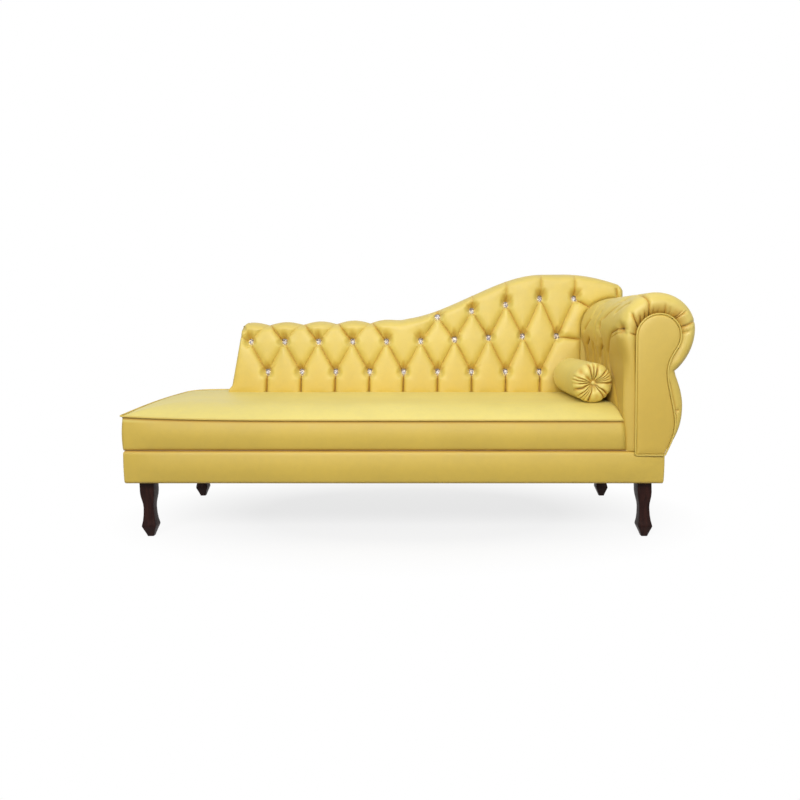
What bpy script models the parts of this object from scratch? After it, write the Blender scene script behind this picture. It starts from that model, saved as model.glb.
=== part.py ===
"""A recamier: a boxed seat on four legs, a buttoned back, one rolled arm and a loose bolster.

Metres, +Z up. +X runs to the arm and the front faces -Y. The origin is the centre of the
object's footprint, on the floor. Heights of the back are measured up its lean from the deck.
"""

import math

import bmesh
import bpy
from mathutils import Matrix, Vector
from mathutils.geometry import delaunay_2d_cdt

# Clearances
GAP = 0.0003
LEG_HOLE_CLEARANCE = 0.002
STUD_CLEARANCE = 0.0006
SEAT_TO_ARM = 0.001
SEAT_TO_BACK = 0.0015
ARM_TO_BACK = 0.0012
BOLSTER_TO_ARM = 0.0032

# Base
BASE_LENGTH = 1.760
BASE_DEPTH = 0.660
RAIL_HEIGHT = 0.096
RAIL_THICKNESS = 0.022
CROSS_RAIL_COUNT = 2
CORNER_BLOCK_SIDE = 0.085
CORNER_BLOCK_HEIGHT = 0.060
COVER_THICKNESS = 0.005
COVER_LIP = 0.0015
DUST_COVER_THICKNESS = 0.001
DECK_THICKNESS = 0.009

# Legs: half widths, and heights from the floor
LEG_HEIGHT = 0.191
LEG_TOP_HALF = 0.0235
LEG_BLOCK_HEIGHT = 0.152
LEG_NECK_HALF = 0.0168
LEG_NECK_HEIGHT = 0.098
LEG_BULGE_HALF = 0.0236
LEG_BULGE_HEIGHT = 0.037
LEG_FOOT_HALF = 0.0108
LEG_FOOT_SHIFT = 0.006
LEG_SPLAY = 0.004
LEG_EDGE_ROUNDING = 0.0025
LEG_INSET_LEFT = 0.060
LEG_INSET_RIGHT = 0.053
LEG_INSET_FRONT = 0.054
LEG_INSET_REAR = 0.048
STUD_RADIUS = 0.004
STUD_LENGTH = 0.030

# Seat
SEAT_EDGE = 0.100
SEAT_CROWN = 0.043
SEAT_CROWN_REACH = 0.16
SEAT_END_LIFT = 0.014
SEAT_END_LIFT_REACH = 0.18
SEAT_REAR_RISE = 0.041
SEAT_CORNER_SAG = 0.011
SEAT_CORNER_SAG_REACH = 0.05
SEAT_CORNER_CUT = 0.006
SEAT_SIDE_SWELL = 0.003
SEAT_CELL = 0.085
WELT_RADIUS = 0.004
WELT_SEAT = 0.0068

# Back: heights up the lean from the deck, the hump's start and crest from the arm's end
BACK_LEAN = math.radians(4.0)
BACK_LOW_TOP = 0.416
BACK_LOW_TILT = 0.014
BACK_HUMP_RISE = 0.181
BACK_HUMP_START = 0.917
BACK_HUMP_LENGTH = 0.590
BACK_CREST = 0.242
BACK_CREST_FALL = 0.80
BACK_LEFT_FOOT = 0.176
BACK_LEFT_SLANT = 0.077
BACK_RIGHT_OVERHANG = 0.022
BACK_CORNER = 0.022
BACK_SCALLOP = 0.013
PAD_THICKNESS = 0.075
PAD_LOWER_THICKNESS = 0.062
PAD_ROLL = 0.030
PAD_ROUNDING = 0.040
PAD_SIDE_ROUNDING = 0.014
PAD_EDGE_SETBACK = 0.016
PANEL_THICKNESS = 0.012
POST_DEPTH = 0.052
POST_WIDTH = 0.050
POST_COUNT = 3
REAR_COVER_THICKNESS = 0.004

# Tufts and crystal buttons of the back
LOW_ROW_START = 0.354
LOW_ROW_END = 0.340
LOW_ROW_HEIGHT = 0.216
LOW_ROW_COUNT = 9
MIDDLE_ROW_HEIGHT = 0.335
MIDDLE_ROW_RISE = 0.12
HUMP_ROW_HEIGHT = 0.434
HUMP_ROW_COUNT = 5
HUMP_ROW_STEP = 0.0245
HUMP_ROW_TO_EDGE = 0.031
TUFT_DEPTH = 0.035
TUFT_REACH = 0.050
TUFT_FLOOR = 0.0152
PLEAT_DEPTH = 0.014
PLEAT_HALF_WIDTH = 0.016
CRYSTAL_RADIUS = 0.0130
CRYSTAL_RIM = 0.0040
CRYSTAL_HEIGHT = 0.0095
CRYSTAL_FACETS = 10

# Arm
ARM_WIDTH = 0.1375
ARM_FOOT_FLARE = 0.012
ROLL_OVERHANG = 0.090
ROLL_HALF_WIDTH = 0.124
ROLL_RISE = 0.117
ROLL_DROP = 0.150
ROLL_HEIGHT = 0.690
ROLL_UNDER_ANGLE = math.radians(62.0)
ARM_BULGE_DROP = 0.115
NOTCH_OVERHANG = 0.028
NOTCH_DROP = 0.146
BELLY_OVERHANG = 0.054
BELLY_LIFT = 0.0195
ARM_FRONT_ROUNDING = 0.026
ARM_FIRST_TUFT = 0.105
ARM_TOP_TUFT_ANGLE = math.radians(115.0)
ARM_TUFT_DEPTH = 0.018
ARM_PLEAT_DEPTH = 0.009
ARM_BOARD_THICKNESS = 0.018
ARM_BOARD_INSET = 0.004
STRETCHER_SIDE = 0.040
PROFILE_STEP = 0.034
ARM_SHADOW = 0.026

# Keyhole facing on the arm's front
FACING_PROUD = 0.010
FACING_DROP = 0.010
FACING_WIDTH = 0.095
FACING_HEAD_RADIUS = 0.068
FACING_HEAD_INSET = 0.035
FACING_HEAD_DROP = 0.022
FACING_HEAD_END = math.radians(-22.0)
FACING_NECK_INSET = 0.005
FACING_NECK_LIFT = 0.011
FACING_BELLY_OVERHANG = 0.025
FACING_BELLY_DROP = 0.0358
FACING_FOOT_INSET = 0.004
FACING_WELT_RADIUS = 0.003
FACING_EDGE_ROUNDING = 0.0025

# Bolster
BOLSTER_RADIUS = 0.068
BOLSTER_FROM_FRONT = 0.110
BOLSTER_TO_BACK = 0.018
BOLSTER_END_ROUNDING = 0.024
BOLSTER_DISH = 0.012
BOLSTER_GATHERS = 24
BOLSTER_GATHER_DEPTH = 0.0025
BOLSTER_BUTTON_RADIUS = 0.013
BOLSTER_BUTTON_HEIGHT = 0.008

# Heights that follow from the sizes
RAIL_FOOT = LEG_HEIGHT + GAP
DECK_FOOT = RAIL_FOOT + RAIL_HEIGHT + GAP
DECK_TOP = DECK_FOOT + DECK_THICKNESS
PAD_FOOT = DECK_TOP + GAP
WELT_LEVEL = PAD_FOOT + SEAT_EDGE
SEAT_TOP = WELT_LEVEL + SEAT_CROWN
BACK_TOP = BACK_LOW_TOP + BACK_LOW_TILT + BACK_HUMP_RISE
ARM_FLAT_TOP = ROLL_HEIGHT - ARM_BULGE_DROP
NOTCH_HEIGHT = ROLL_HEIGHT - NOTCH_DROP
BELLY_HEIGHT = (NOTCH_HEIGHT + PAD_FOOT) / 2 + BELLY_LIFT
FACING_FOOT = DECK_TOP - FACING_DROP
FACING_HEAD_HEIGHT = ROLL_HEIGHT - FACING_HEAD_DROP
FACING_NECK_HEIGHT = NOTCH_HEIGHT + FACING_NECK_LIFT
FACING_BELLY_HEIGHT = (FACING_NECK_HEIGHT + FACING_FOOT) / 2 - FACING_BELLY_DROP

# Places along the sofa
LENGTH = BASE_LENGTH + ROLL_OVERHANG
LEFT = -LENGTH / 2
RIGHT = LEFT + BASE_LENGTH
ARM_FACE = RIGHT - ARM_WIDTH
ROLL_X = RIGHT + ROLL_OVERHANG - ROLL_HALF_WIDTH
SEAT_LEFT = LEFT + WELT_RADIUS
SEAT_RIGHT = ARM_FACE - SEAT_TO_ARM
BACK_LEFT = LEFT + BACK_LEFT_FOOT
BACK_RIGHT = RIGHT + BACK_RIGHT_OVERHANG
HUMP_X = BACK_RIGHT - BACK_HUMP_START
CREST_X = BACK_RIGHT - BACK_CREST
FIRST_BUTTON_X = LEFT + LOW_ROW_START
BUTTON_PITCH = (BACK_RIGHT - LOW_ROW_END - FIRST_BUTTON_X) / (LOW_ROW_COUNT - 1)
COVER_INSIDE = COVER_THICKNESS + GAP

# Places from front to rear
DEPTH = FACING_PROUD + BASE_DEPTH + BACK_TOP * math.sin(BACK_LEAN)
FRONT = -DEPTH / 2 + FACING_PROUD
REAR = FRONT + BASE_DEPTH
BACK_DEPTH = PANEL_THICKNESS + POST_DEPTH + REAR_COVER_THICKNESS + 2 * GAP
BACK_FACE = REAR - BACK_DEPTH * math.cos(BACK_LEAN)
BACK_FOOT = BACK_DEPTH * math.sin(BACK_LEAN) + GAP
SEAT_FRONT = FRONT + WELT_RADIUS
SEAT_BACK = BACK_FACE - PAD_LOWER_THICKNESS - SEAT_TO_BACK
BOLSTER_LENGTH = SEAT_BACK - BOLSTER_TO_BACK - FRONT - BOLSTER_FROM_FRONT
ARM_END = BACK_FACE - (PAD_LOWER_THICKNESS + ARM_TO_BACK) / math.cos(BACK_LEAN)

CORNER_SHARES = ((1.0, 0.0), (0.3, 0.3), (0.0, 1.0))

FABRIC = ("yellow_fabric", (0.70, 0.50, 0.13), 0.50, 0.0)
TIMBER = ("pine", (0.62, 0.45, 0.27), 0.75, 0.0)
PLYWOOD = ("plywood", (0.66, 0.50, 0.32), 0.70, 0.0)
DARK_WOOD = ("dark_stained_wood", (0.028, 0.012, 0.010), 0.35, 0.0)
BLACK_CLOTH = ("black_cloth", (0.02, 0.02, 0.02), 0.95, 0.0)
CRYSTAL = ("crystal_and_chrome", (0.80, 0.76, 0.78), 0.08, 0.6)


def material(look):
    """The Principled material of this look, made once."""
    name, colour, roughness, metallic = look
    made = bpy.data.materials.get(name)
    if made:
        return made
    made = bpy.data.materials.new(name)
    made.use_nodes = True
    shader = made.node_tree.nodes["Principled BSDF"]
    shader.inputs["Base Color"].default_value = (*colour, 1.0)
    shader.inputs["Roughness"].default_value = roughness
    shader.inputs["Metallic"].default_value = metallic
    made.diffuse_color = (*colour, 1.0)
    return made


def add_object(name, data, look, collection, location=(0, 0, 0), parent=None):
    obj = bpy.data.objects.new(name, data)
    obj.location = location
    obj.parent = parent
    collection.objects.link(obj)
    if look:
        data.materials.append(material(look))
    return obj


def mesh_object(name, bm, look, collection, location=(0, 0, 0), parent=None, smooth=None):
    """Turns a bmesh into a named object. smooth is the angle, in degrees, that still looks round."""
    bmesh.ops.recalc_face_normals(bm, faces=bm.faces)
    mesh = bpy.data.meshes.new(name)
    bm.to_mesh(mesh)
    bm.free()
    if smooth:
        mesh.shade_smooth()
        mesh.set_sharp_from_angle(angle=math.radians(smooth))
    return add_object(name, mesh, look, collection, location, parent)


def box(name, low, high, look, collection, parent=None):
    """A box between two corners."""
    size = [b - a for a, b in zip(low, high)]
    centre = [(a + b) / 2 for a, b in zip(low, high)]
    bm = bmesh.new()
    bmesh.ops.create_cube(bm, size=1.0, matrix=Matrix.Diagonal((*size, 1.0)))
    return mesh_object(name, bm, look, collection, centre, parent)


def plate(name, outline, low, high, look, collection, parent=None, rounding=0.0):
    """A flat outline of (x, z) points that fills the depth from low to high along Y."""
    curve = bpy.data.curves.new(name, "CURVE")
    curve.dimensions = "2D"
    curve.fill_mode = "BOTH"
    curve.extrude = (high - low) / 2 - rounding
    curve.bevel_depth = rounding
    curve.bevel_resolution = 1 if rounding else 0
    curve.offset = -rounding
    spline = curve.splines.new("POLY")
    spline.points.add(len(outline) - 1)
    for point, (x, z) in zip(spline.points, outline):
        point.co = (x, z, 0.0, 1.0)
    spline.use_cyclic_u = True
    obj = add_object(name, curve, look, collection, (0, (low + high) / 2, 0), parent)
    obj.rotation_euler.x = math.radians(90)
    return obj


def tube(name, points, radius, look, collection, cyclic=False):
    """A round tube along the points."""
    curve = bpy.data.curves.new(name, "CURVE")
    curve.dimensions = "3D"
    curve.bevel_depth = radius
    curve.bevel_resolution = 2
    curve.use_fill_caps = not cyclic
    spline = curve.splines.new("POLY")
    spline.points.add(len(points) - 1)
    for point, place in zip(spline.points, points):
        point.co = (*place, 1.0)
    spline.use_cyclic_u = cyclic
    return add_object(name, curve, look, collection)


def turned(name, profile, steps, look, collection, location, parent=None):
    """A profile of (radius, height) points, top to bottom, turned round Z."""
    bm = bmesh.new()
    points = [bm.verts.new((radius, 0, height)) for radius, height in profile]
    for a, b in zip(points, points[1:]):
        bm.edges.new((a, b))
    obj = mesh_object(name, bm, look, collection, location, parent)
    screw = obj.modifiers.new("turn", "SCREW")
    screw.steps = steps
    screw.render_steps = steps
    screw.use_merge_vertices = True
    screw.merge_threshold = 0.0001
    return obj


def lofted(rings):
    """A closed bmesh through rings of as many points each, with a flat cap at each end."""
    bm = bmesh.new()
    made = [[bm.verts.new(point) for point in ring] for ring in rings]
    count = len(rings[0])
    for lower, upper in zip(made, made[1:]):
        for i in range(count):
            j = (i + 1) % count
            bm.faces.new((lower[i], lower[j], upper[j], upper[i]))
    bm.faces.new(made[0])
    bm.faces.new(made[-1])
    return bm


def boolean(obj, cutter, operation):
    modifier = obj.modifiers.new(operation.lower(), "BOOLEAN")
    modifier.operation = operation
    modifier.solver = "EXACT"
    modifier.object = cutter
    cutter.hide_render = True
    cutter.display_type = "WIRE"


def as_mesh(curve_object):
    """Replaces a curve object with a mesh of the same shape, its caps welded to its sides."""
    graph = bpy.context.evaluated_depsgraph_get()
    mesh = bpy.data.meshes.new_from_object(curve_object.evaluated_get(graph))
    name = curve_object.name
    collection = curve_object.users_collection[0]
    parent = curve_object.parent
    local = curve_object.matrix_basis.copy()
    bpy.data.objects.remove(curve_object)
    bm = bmesh.new()
    bm.from_mesh(mesh)
    bmesh.ops.remove_doubles(bm, verts=bm.verts, dist=0.00001)
    bpy.data.meshes.remove(mesh)
    obj = mesh_object(name, bm, None, collection, parent=parent)
    obj.matrix_basis = local
    return obj


def ease(t):
    """0 to 1 with flat ends, clamped."""
    t = min(max(t, 0.0), 1.0)
    return t * t * (3 - 2 * t)


def smooth_path(points, steps):
    """Points on a Catmull-Rom curve through the given ones, with their ends kept."""
    padded = [points[0], *points, points[-1]]
    path = [Vector(points[0])]
    for a, b, c, d in zip(padded, padded[1:], padded[2:], padded[3:]):
        a, b, c, d = Vector(a), Vector(b), Vector(c), Vector(d)
        for i in range(1, steps + 1):
            t = i / steps
            bend = (2 * a - 5 * b + 4 * c - d) * t * t + (3 * b - a - 3 * c + d) * t * t * t
            path.append((2 * b + (c - a) * t + bend) / 2)
    return path


def arm_face(height):
    """Where the arm's inner face is, which slants outwards below the seat's top."""
    share = (height - PAD_FOOT) / (SEAT_TOP - PAD_FOOT)
    return ARM_FACE + ARM_FOOT_FLARE * max(1 - share, 0.0)


def base_frame(parts):
    """The timber box under the seat, its rails, corner blocks and deck."""
    left, right = LEFT + COVER_INSIDE, RIGHT - COVER_INSIDE
    front, rear = FRONT + COVER_INSIDE, REAR - COVER_INSIDE
    top = RAIL_FOOT + RAIL_HEIGHT
    inner_front = front + RAIL_THICKNESS + GAP
    inner_rear = rear - RAIL_THICKNESS - GAP
    inner_left = left + RAIL_THICKNESS + GAP
    inner_right = right - RAIL_THICKNESS - GAP
    box("front_rail", (left, front, RAIL_FOOT), (right, inner_front - GAP, top), TIMBER, parts)
    box("rear_rail", (left, inner_rear + GAP, RAIL_FOOT), (right, rear, top), TIMBER, parts)
    box("left_end_rail", (left, inner_front, RAIL_FOOT), (inner_left - GAP, inner_rear, top), TIMBER, parts)
    box("right_end_rail", (inner_right + GAP, inner_front, RAIL_FOOT), (right, inner_rear, top), TIMBER, parts)
    for i in range(CROSS_RAIL_COUNT):
        centre = inner_left + (inner_right - inner_left) * (i + 1) / (CROSS_RAIL_COUNT + 1)
        low = (centre - RAIL_THICKNESS / 2, inner_front, RAIL_FOOT)
        high = (centre + RAIL_THICKNESS / 2, inner_rear, top)
        box(f"cross_rail_{i + 1}", low, high, TIMBER, parts)
    box("seat_deck", (left, front, DECK_FOOT), (right, rear, DECK_TOP), PLYWOOD, parts)
    return inner_left, inner_right, inner_front, inner_rear


def leg_places():
    """Name and centre of each leg, with the corner it stands in."""
    places = []
    for depth_name, y, side_y in (
        ("front", FRONT + LEG_INSET_FRONT, 1),
        ("rear", REAR - LEG_INSET_REAR, -1),
    ):
        for side_name, x, side_x in (
            ("left", LEFT + LEG_INSET_LEFT, 1),
            ("right", RIGHT - LEG_INSET_RIGHT, -1),
        ):
            places.append((f"{depth_name}_{side_name}", x, y, side_x, side_y))
    return places


def leg_half_width(height):
    if height <= LEG_BULGE_HEIGHT:
        share = height / LEG_BULGE_HEIGHT
        return LEG_FOOT_HALF + (LEG_BULGE_HALF - LEG_FOOT_HALF) * share
    if height <= LEG_NECK_HEIGHT:
        share = math.sin(math.pi / 2 * (height - LEG_BULGE_HEIGHT) / (LEG_NECK_HEIGHT - LEG_BULGE_HEIGHT))
        return LEG_BULGE_HALF + (LEG_NECK_HALF - LEG_BULGE_HALF) * share
    share = ease((height - LEG_NECK_HEIGHT) / (LEG_BLOCK_HEIGHT - LEG_NECK_HEIGHT))
    return LEG_NECK_HALF + (LEG_TOP_HALF - LEG_NECK_HALF) * share


def legs(parts, cutters, inside):
    """Four carved square legs, each with a stud that screws up into its corner block."""
    inner_left, inner_right, inner_front, inner_rear = inside
    steps = 4
    heights = [0.0, LEG_BULGE_HEIGHT]
    for low, high in ((LEG_BULGE_HEIGHT, LEG_NECK_HEIGHT), (LEG_NECK_HEIGHT, LEG_BLOCK_HEIGHT)):
        heights += [low + (high - low) * (i + 1) / steps for i in range(steps)]
    heights.append(LEG_HEIGHT)
    for number, (name, x, y, side_x, side_y) in enumerate(leg_places(), 1):
        foot_shift = LEG_FOOT_SHIFT - side_x * LEG_SPLAY
        rings = []
        for height in heights:
            half = leg_half_width(height)
            shift = foot_shift * (1 - height / LEG_HEIGHT)
            corners = ((-half, -half), (half, -half), (half, half), (-half, half))
            rings.append([(a + shift, b, height) for a, b in corners])
        leg = mesh_object(f"leg_{name}", lofted(rings), DARK_WOOD, parts, (x, y, 0), smooth=35)
        rounding = leg.modifiers.new("worn_edges", "BEVEL")
        rounding.width = LEG_EDGE_ROUNDING
        rounding.segments = 2
        rounding.limit_method = "ANGLE"
        rounding.angle_limit = math.radians(50)
        boolean(leg, stud(f"stud_{name}", x, y, STUD_RADIUS, STUD_LENGTH, cutters), "UNION")
        corner_x = inner_left if side_x > 0 else inner_right
        corner_y = inner_front if side_y > 0 else inner_rear
        xs = sorted((corner_x, corner_x + side_x * CORNER_BLOCK_SIDE))
        ys = sorted((corner_y, corner_y + side_y * CORNER_BLOCK_SIDE))
        low = (xs[0], ys[0], RAIL_FOOT)
        high = (xs[1], ys[1], RAIL_FOOT + CORNER_BLOCK_HEIGHT)
        block = box(f"corner_block_{number}", low, high, TIMBER, parts)
        bore_radius = STUD_RADIUS + STUD_CLEARANCE
        bore = stud(f"bore_{name}", x, y, bore_radius, STUD_LENGTH + STUD_CLEARANCE, cutters)
        boolean(block, bore, "DIFFERENCE")


def stud(name, x, y, radius, length, cutters):
    """A round stud that starts inside the leg's top and rises by this length."""
    sunk = 0.010
    bm = bmesh.new()
    bmesh.ops.create_cone(
        bm, cap_ends=True, segments=16, radius1=radius, radius2=radius, depth=length + sunk
    )
    return mesh_object(name, bm, None, cutters, (x, y, LEG_HEIGHT + (length - sunk) / 2))


def base_covers(parts, cutters):
    """The upholstered band round the base, and the dust cover under it."""
    low, top = LEG_HEIGHT - COVER_LIP, DECK_TOP
    size = (BASE_LENGTH, BASE_DEPTH, top - low)
    centre = ((LEFT + RIGHT) / 2, (FRONT + REAR) / 2, (low + top) / 2)
    bm = bmesh.new()
    bmesh.ops.create_cube(bm, size=1.0, matrix=Matrix.Diagonal((*size, 1.0)))
    caps = [face for face in bm.faces if abs(face.normal.z) > 0.5]
    bmesh.ops.delete(bm, geom=caps, context="FACES_ONLY")
    band = mesh_object("base_cover", bm, FABRIC, parts, centre)
    rounding = band.modifiers.new("soft_corners", "BEVEL")
    rounding.width = COVER_THICKNESS * 0.9
    rounding.segments = 3
    shell = band.modifiers.new("thickness", "SOLIDIFY")
    shell.thickness = COVER_THICKNESS
    shell.offset = -1.0
    shell.use_even_offset = True

    cloth_top = LEG_HEIGHT
    inside = (LEFT + COVER_INSIDE, FRONT + COVER_INSIDE, cloth_top - DUST_COVER_THICKNESS)
    outside = (RIGHT - COVER_INSIDE, REAR - COVER_INSIDE, cloth_top)
    cloth = box("dust_cover", inside, outside, BLACK_CLOTH, parts)
    half = LEG_TOP_HALF + LEG_HOLE_CLEARANCE
    for name, x, y, _, _ in leg_places():
        low = (x - half, y - half, cloth_top - 10 * DUST_COVER_THICKNESS)
        high = (x + half, y + half, cloth_top + 10 * DUST_COVER_THICKNESS)
        boolean(cloth, box(f"leg_hole_{name}", low, high, None, cutters), "DIFFERENCE")


def edge_level(x, y):
    """Height of the seat's open top edge, which rises to the rear and lifts at its open end."""
    front = SEAT_END_LIFT * math.exp((LEFT - x) / SEAT_END_LIFT_REACH)
    rear = SEAT_REAR_RISE - SEAT_CORNER_SAG * math.exp((LEFT - x) / SEAT_CORNER_SAG_REACH)
    share = (y - FRONT) / BASE_DEPTH
    return WELT_LEVEL + front + (rear - front) * share


def seat_height(x, y):
    """The seat's top: a crown that rises from its open edges and is level further in."""
    reaches = [x - SEAT_LEFT - WELT_SEAT, y - SEAT_FRONT - WELT_SEAT]
    if x < BACK_LEFT:
        reaches.append(REAR - WELT_RADIUS - WELT_SEAT - y)
    share = min(min(reaches) / SEAT_CROWN_REACH, 1.0)
    edge = edge_level(x, y)
    return edge + (SEAT_TOP - edge) * (1 - (1 - max(share, 0.0)) ** 2)


def spread(low, high, cell):
    """Evenly spaced values from low to high, about a cell apart."""
    count = max(1, round((high - low) / cell))
    return [low + (high - low) * i / count for i in range(count + 1)]


def seat(parts):
    """The seat pad, cut out round the back, and the welt along its open top edge."""
    notch = BACK_LEFT - SEAT_TO_BACK
    seat_rear = REAR - WELT_RADIUS
    edge = WELT_SEAT
    near = SEAT_CROWN_REACH * 0.2
    left_in, front_in, rear_in = SEAT_LEFT + edge, SEAT_FRONT + edge, seat_rear - edge
    columns = [left_in, *spread(left_in + near, notch, SEAT_CELL * 0.7)]
    columns += spread(notch, SEAT_RIGHT, SEAT_CELL)[1:]
    rows = [front_in, *spread(front_in + near, SEAT_BACK, SEAT_CELL * 0.7)]
    rows += [*spread(SEAT_BACK, rear_in - near, SEAT_CELL)[1:], rear_in]

    bm = bmesh.new()
    grid = [[bm.verts.new((x, y, seat_height(x, y))) for x in columns] for y in rows]
    for j in range(len(rows) - 1):
        for i in range(len(columns) - 1):
            behind_back = rows[j] > SEAT_BACK - GAP and columns[i] > notch - GAP
            if not behind_back:
                bm.faces.new((grid[j][i], grid[j][i + 1], grid[j + 1][i + 1], grid[j + 1][i]))
    bmesh.ops.delete(bm, geom=[v for v in bm.verts if not v.link_faces], context="VERTS")

    def push(vert, amount):
        """The way outwards at an open edge, as far as this amount."""
        x, y = vert.co.x, vert.co.y
        out_x = -amount if x < left_in + near / 2 else 0.0
        out_y = -amount if y < front_in + near / 2 else 0.0
        if y > rear_in - near / 2:
            out_y = amount
        return Vector((out_x, out_y, 0.0))

    for vert in bm.verts:
        out = push(vert, SEAT_CORNER_CUT * 0.3)
        if out.x and out.y:
            vert.co -= out
    ring = [e for e in bm.edges if e.is_boundary]
    steps = (
        (edge, lambda z: z - edge),
        (SEAT_SIDE_SWELL, lambda z: (z + PAD_FOOT) / 2),
        (-SEAT_SIDE_SWELL, lambda z: PAD_FOOT),
    )
    for amount, lower in steps:
        made = bmesh.ops.extrude_edge_only(bm, edges=ring)["geom"]
        for vert in [g for g in made if isinstance(g, bmesh.types.BMVert)]:
            vert.co += push(vert, amount)
            vert.co.z = lower(vert.co.z)
            if vert.co.x > SEAT_RIGHT - GAP:
                vert.co.x = arm_face(vert.co.z) - SEAT_TO_ARM
        ring = [g for g in made if isinstance(g, bmesh.types.BMEdge) and g.is_boundary]
    bmesh.ops.holes_fill(bm, edges=ring)
    mesh_object("seat_pad", bm, FABRIC, parts, smooth=50)

    corner = SEAT_CORNER_CUT
    path = [(x, SEAT_FRONT) for x in reversed(columns[1:])]
    path += [(SEAT_LEFT + share_x * corner, SEAT_FRONT + share_y * corner) for share_x, share_y in CORNER_SHARES]
    path += [(SEAT_LEFT, y) for y in rows[1:-1]]
    path += [(SEAT_LEFT + share_x * corner, seat_rear - share_y * corner) for share_y, share_x in CORNER_SHARES]
    path += [(x, seat_rear) for x in columns[1:] if x < notch + GAP]
    points = [(x, y, edge_level(x, y)) for x, y in path]
    tube("seat_welt", points, WELT_RADIUS, FABRIC, parts)


def top_line(x):
    """Height of the back's top edge, without its scallops."""
    low_share = min(max((x - BACK_LEFT) / (HUMP_X - BACK_LEFT), 0.0), 1.0)
    height = BACK_LOW_TOP + BACK_LOW_TILT * low_share
    height += BACK_HUMP_RISE * ease((x - HUMP_X) / BACK_HUMP_LENGTH)
    return height - BACK_CREST_FALL * max(x - CREST_X, 0.0) ** 2


def scallop(x):
    """How far the low part's top edge dips between two buttons of the middle row."""
    fade = 1 - ease((x - HUMP_X + BUTTON_PITCH / 2) / BUTTON_PITCH)
    phase = math.pi * (x - FIRST_BUTTON_X) / BUTTON_PITCH
    return BACK_SCALLOP * fade * (1 - abs(math.sin(phase)))


def left_line(height):
    """Where the back's slanted left end is at this height."""
    return BACK_LEFT + BACK_LEFT_SLANT * height / BACK_LOW_TOP


def back_outline(inset, scalloped=False):
    """(x, z) points from the back's left foot over its top to its right foot."""
    corner = max(BACK_CORNER - inset / 2, 0.004)
    slope = math.hypot(1.0, BACK_LEFT_SLANT / BACK_LOW_TOP)

    def left_at(height):
        return left_line(height) + inset * slope

    right = BACK_RIGHT - inset
    step = BUTTON_PITCH / 4
    first = FIRST_BUTTON_X - BUTTON_PITCH / 2
    start = left_at(BACK_LOW_TOP - inset) + corner
    end = right - corner
    xs = [first + i * step for i in range(-8, 200)]
    xs = [start, *[x for x in xs if start + step / 3 < x < end - step / 3], end]
    top = []
    for x in xs:
        dip = scallop(x) if scalloped and start < x < end else 0.0
        top.append((x, top_line(x) - inset - dip))
    left_top, right_top = top[0][1], top[-1][1]
    points = [(left_at(BACK_FOOT), BACK_FOOT)]
    if inset == 0.0:
        count = 6
        levels = [BACK_FOOT + (left_top - corner - BACK_FOOT) * i / count for i in range(1, count)]
        points += [(left_at(z), z) for z in levels]
    points.append((left_at(left_top - corner), left_top - corner))
    points.append((left_at(left_top) + corner * 0.3, left_top - corner * 0.3))
    points += top
    points.append((right - corner * 0.3, right_top - corner * 0.3))
    points.append((right, right_top - corner))
    if inset == 0.0:
        count = 10
        levels = [right_top - corner + (BACK_FOOT - right_top + corner) * i / count for i in range(1, count)]
        points += [(right, z) for z in levels]
    points.append((right, BACK_FOOT))
    return points


def button_rows():
    """(x, z) of the crystal buttons in the low, middle and hump rows, in the back's frame."""
    first = FIRST_BUTTON_X
    low = [(first + i * BUTTON_PITCH, LOW_ROW_HEIGHT) for i in range(LOW_ROW_COUNT)]
    middle = []
    for i in range(LOW_ROW_COUNT + 1):
        x = first + (i - 0.5) * BUTTON_PITCH
        middle.append((x, MIDDLE_ROW_HEIGHT + MIDDLE_ROW_RISE * (top_line(x) - BACK_LOW_TOP)))
    hump = []
    skipped = LOW_ROW_COUNT + 1 - HUMP_ROW_COUNT
    for i in range(HUMP_ROW_COUNT):
        x = first + (i + skipped) * BUTTON_PITCH
        height = HUMP_ROW_HEIGHT + HUMP_ROW_STEP * min(i, HUMP_ROW_COUNT - 2)
        hump.append((x, min(height, top_line(x) - HUMP_ROW_TO_EDGE)))
    return low, middle, hump


def back_pleats():
    """((x, z), (x, z)) ends of each pleat that runs between buttons or out to an edge."""
    low, middle, hump = button_rows()
    seat_line = (SEAT_TOP - DECK_TOP) / math.cos(BACK_LEAN) + GAP
    edge = PAD_ROUNDING * 0.35
    pleats = []
    for i, place in enumerate(low):
        pleats.append((place, (place[0], seat_line)))
        pleats.append((place, middle[i]))
        pleats.append((place, middle[i + 1]))
    skipped = len(low) + 1 - len(hump)
    for i, place in enumerate(hump):
        pleats.append((place, (place[0], top_line(place[0]) - edge)))
        pleats.append((place, middle[i + skipped]))
        if i + skipped + 1 < len(middle):
            pleats.append((place, middle[i + skipped + 1]))
    for i, (x, z) in enumerate(middle[:skipped]):
        for side in (-0.5, 0.5):
            top_x = x + side * BUTTON_PITCH
            if left_line(z) + BACK_CORNER < top_x and not (i == skipped - 1 and side > 0):
                pleats.append(((x, z), (top_x, top_line(top_x) - BACK_SCALLOP - edge)))
    x, z = middle[0]
    pleats.append((middle[0], (left_line(z) + edge, z + BUTTON_PITCH * 0.1)))
    return pleats


def distance_to(point, start, end):
    """Distance from a point to a line between two ends, all flat."""
    ax, az = end[0] - start[0], end[1] - start[1]
    t = ((point[0] - start[0]) * ax + (point[1] - start[1]) * az) / (ax * ax + az * az)
    t = min(max(t, 0.0), 1.0)
    return math.hypot(point[0] - start[0] - t * ax, point[1] - start[1] - t * az)


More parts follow.
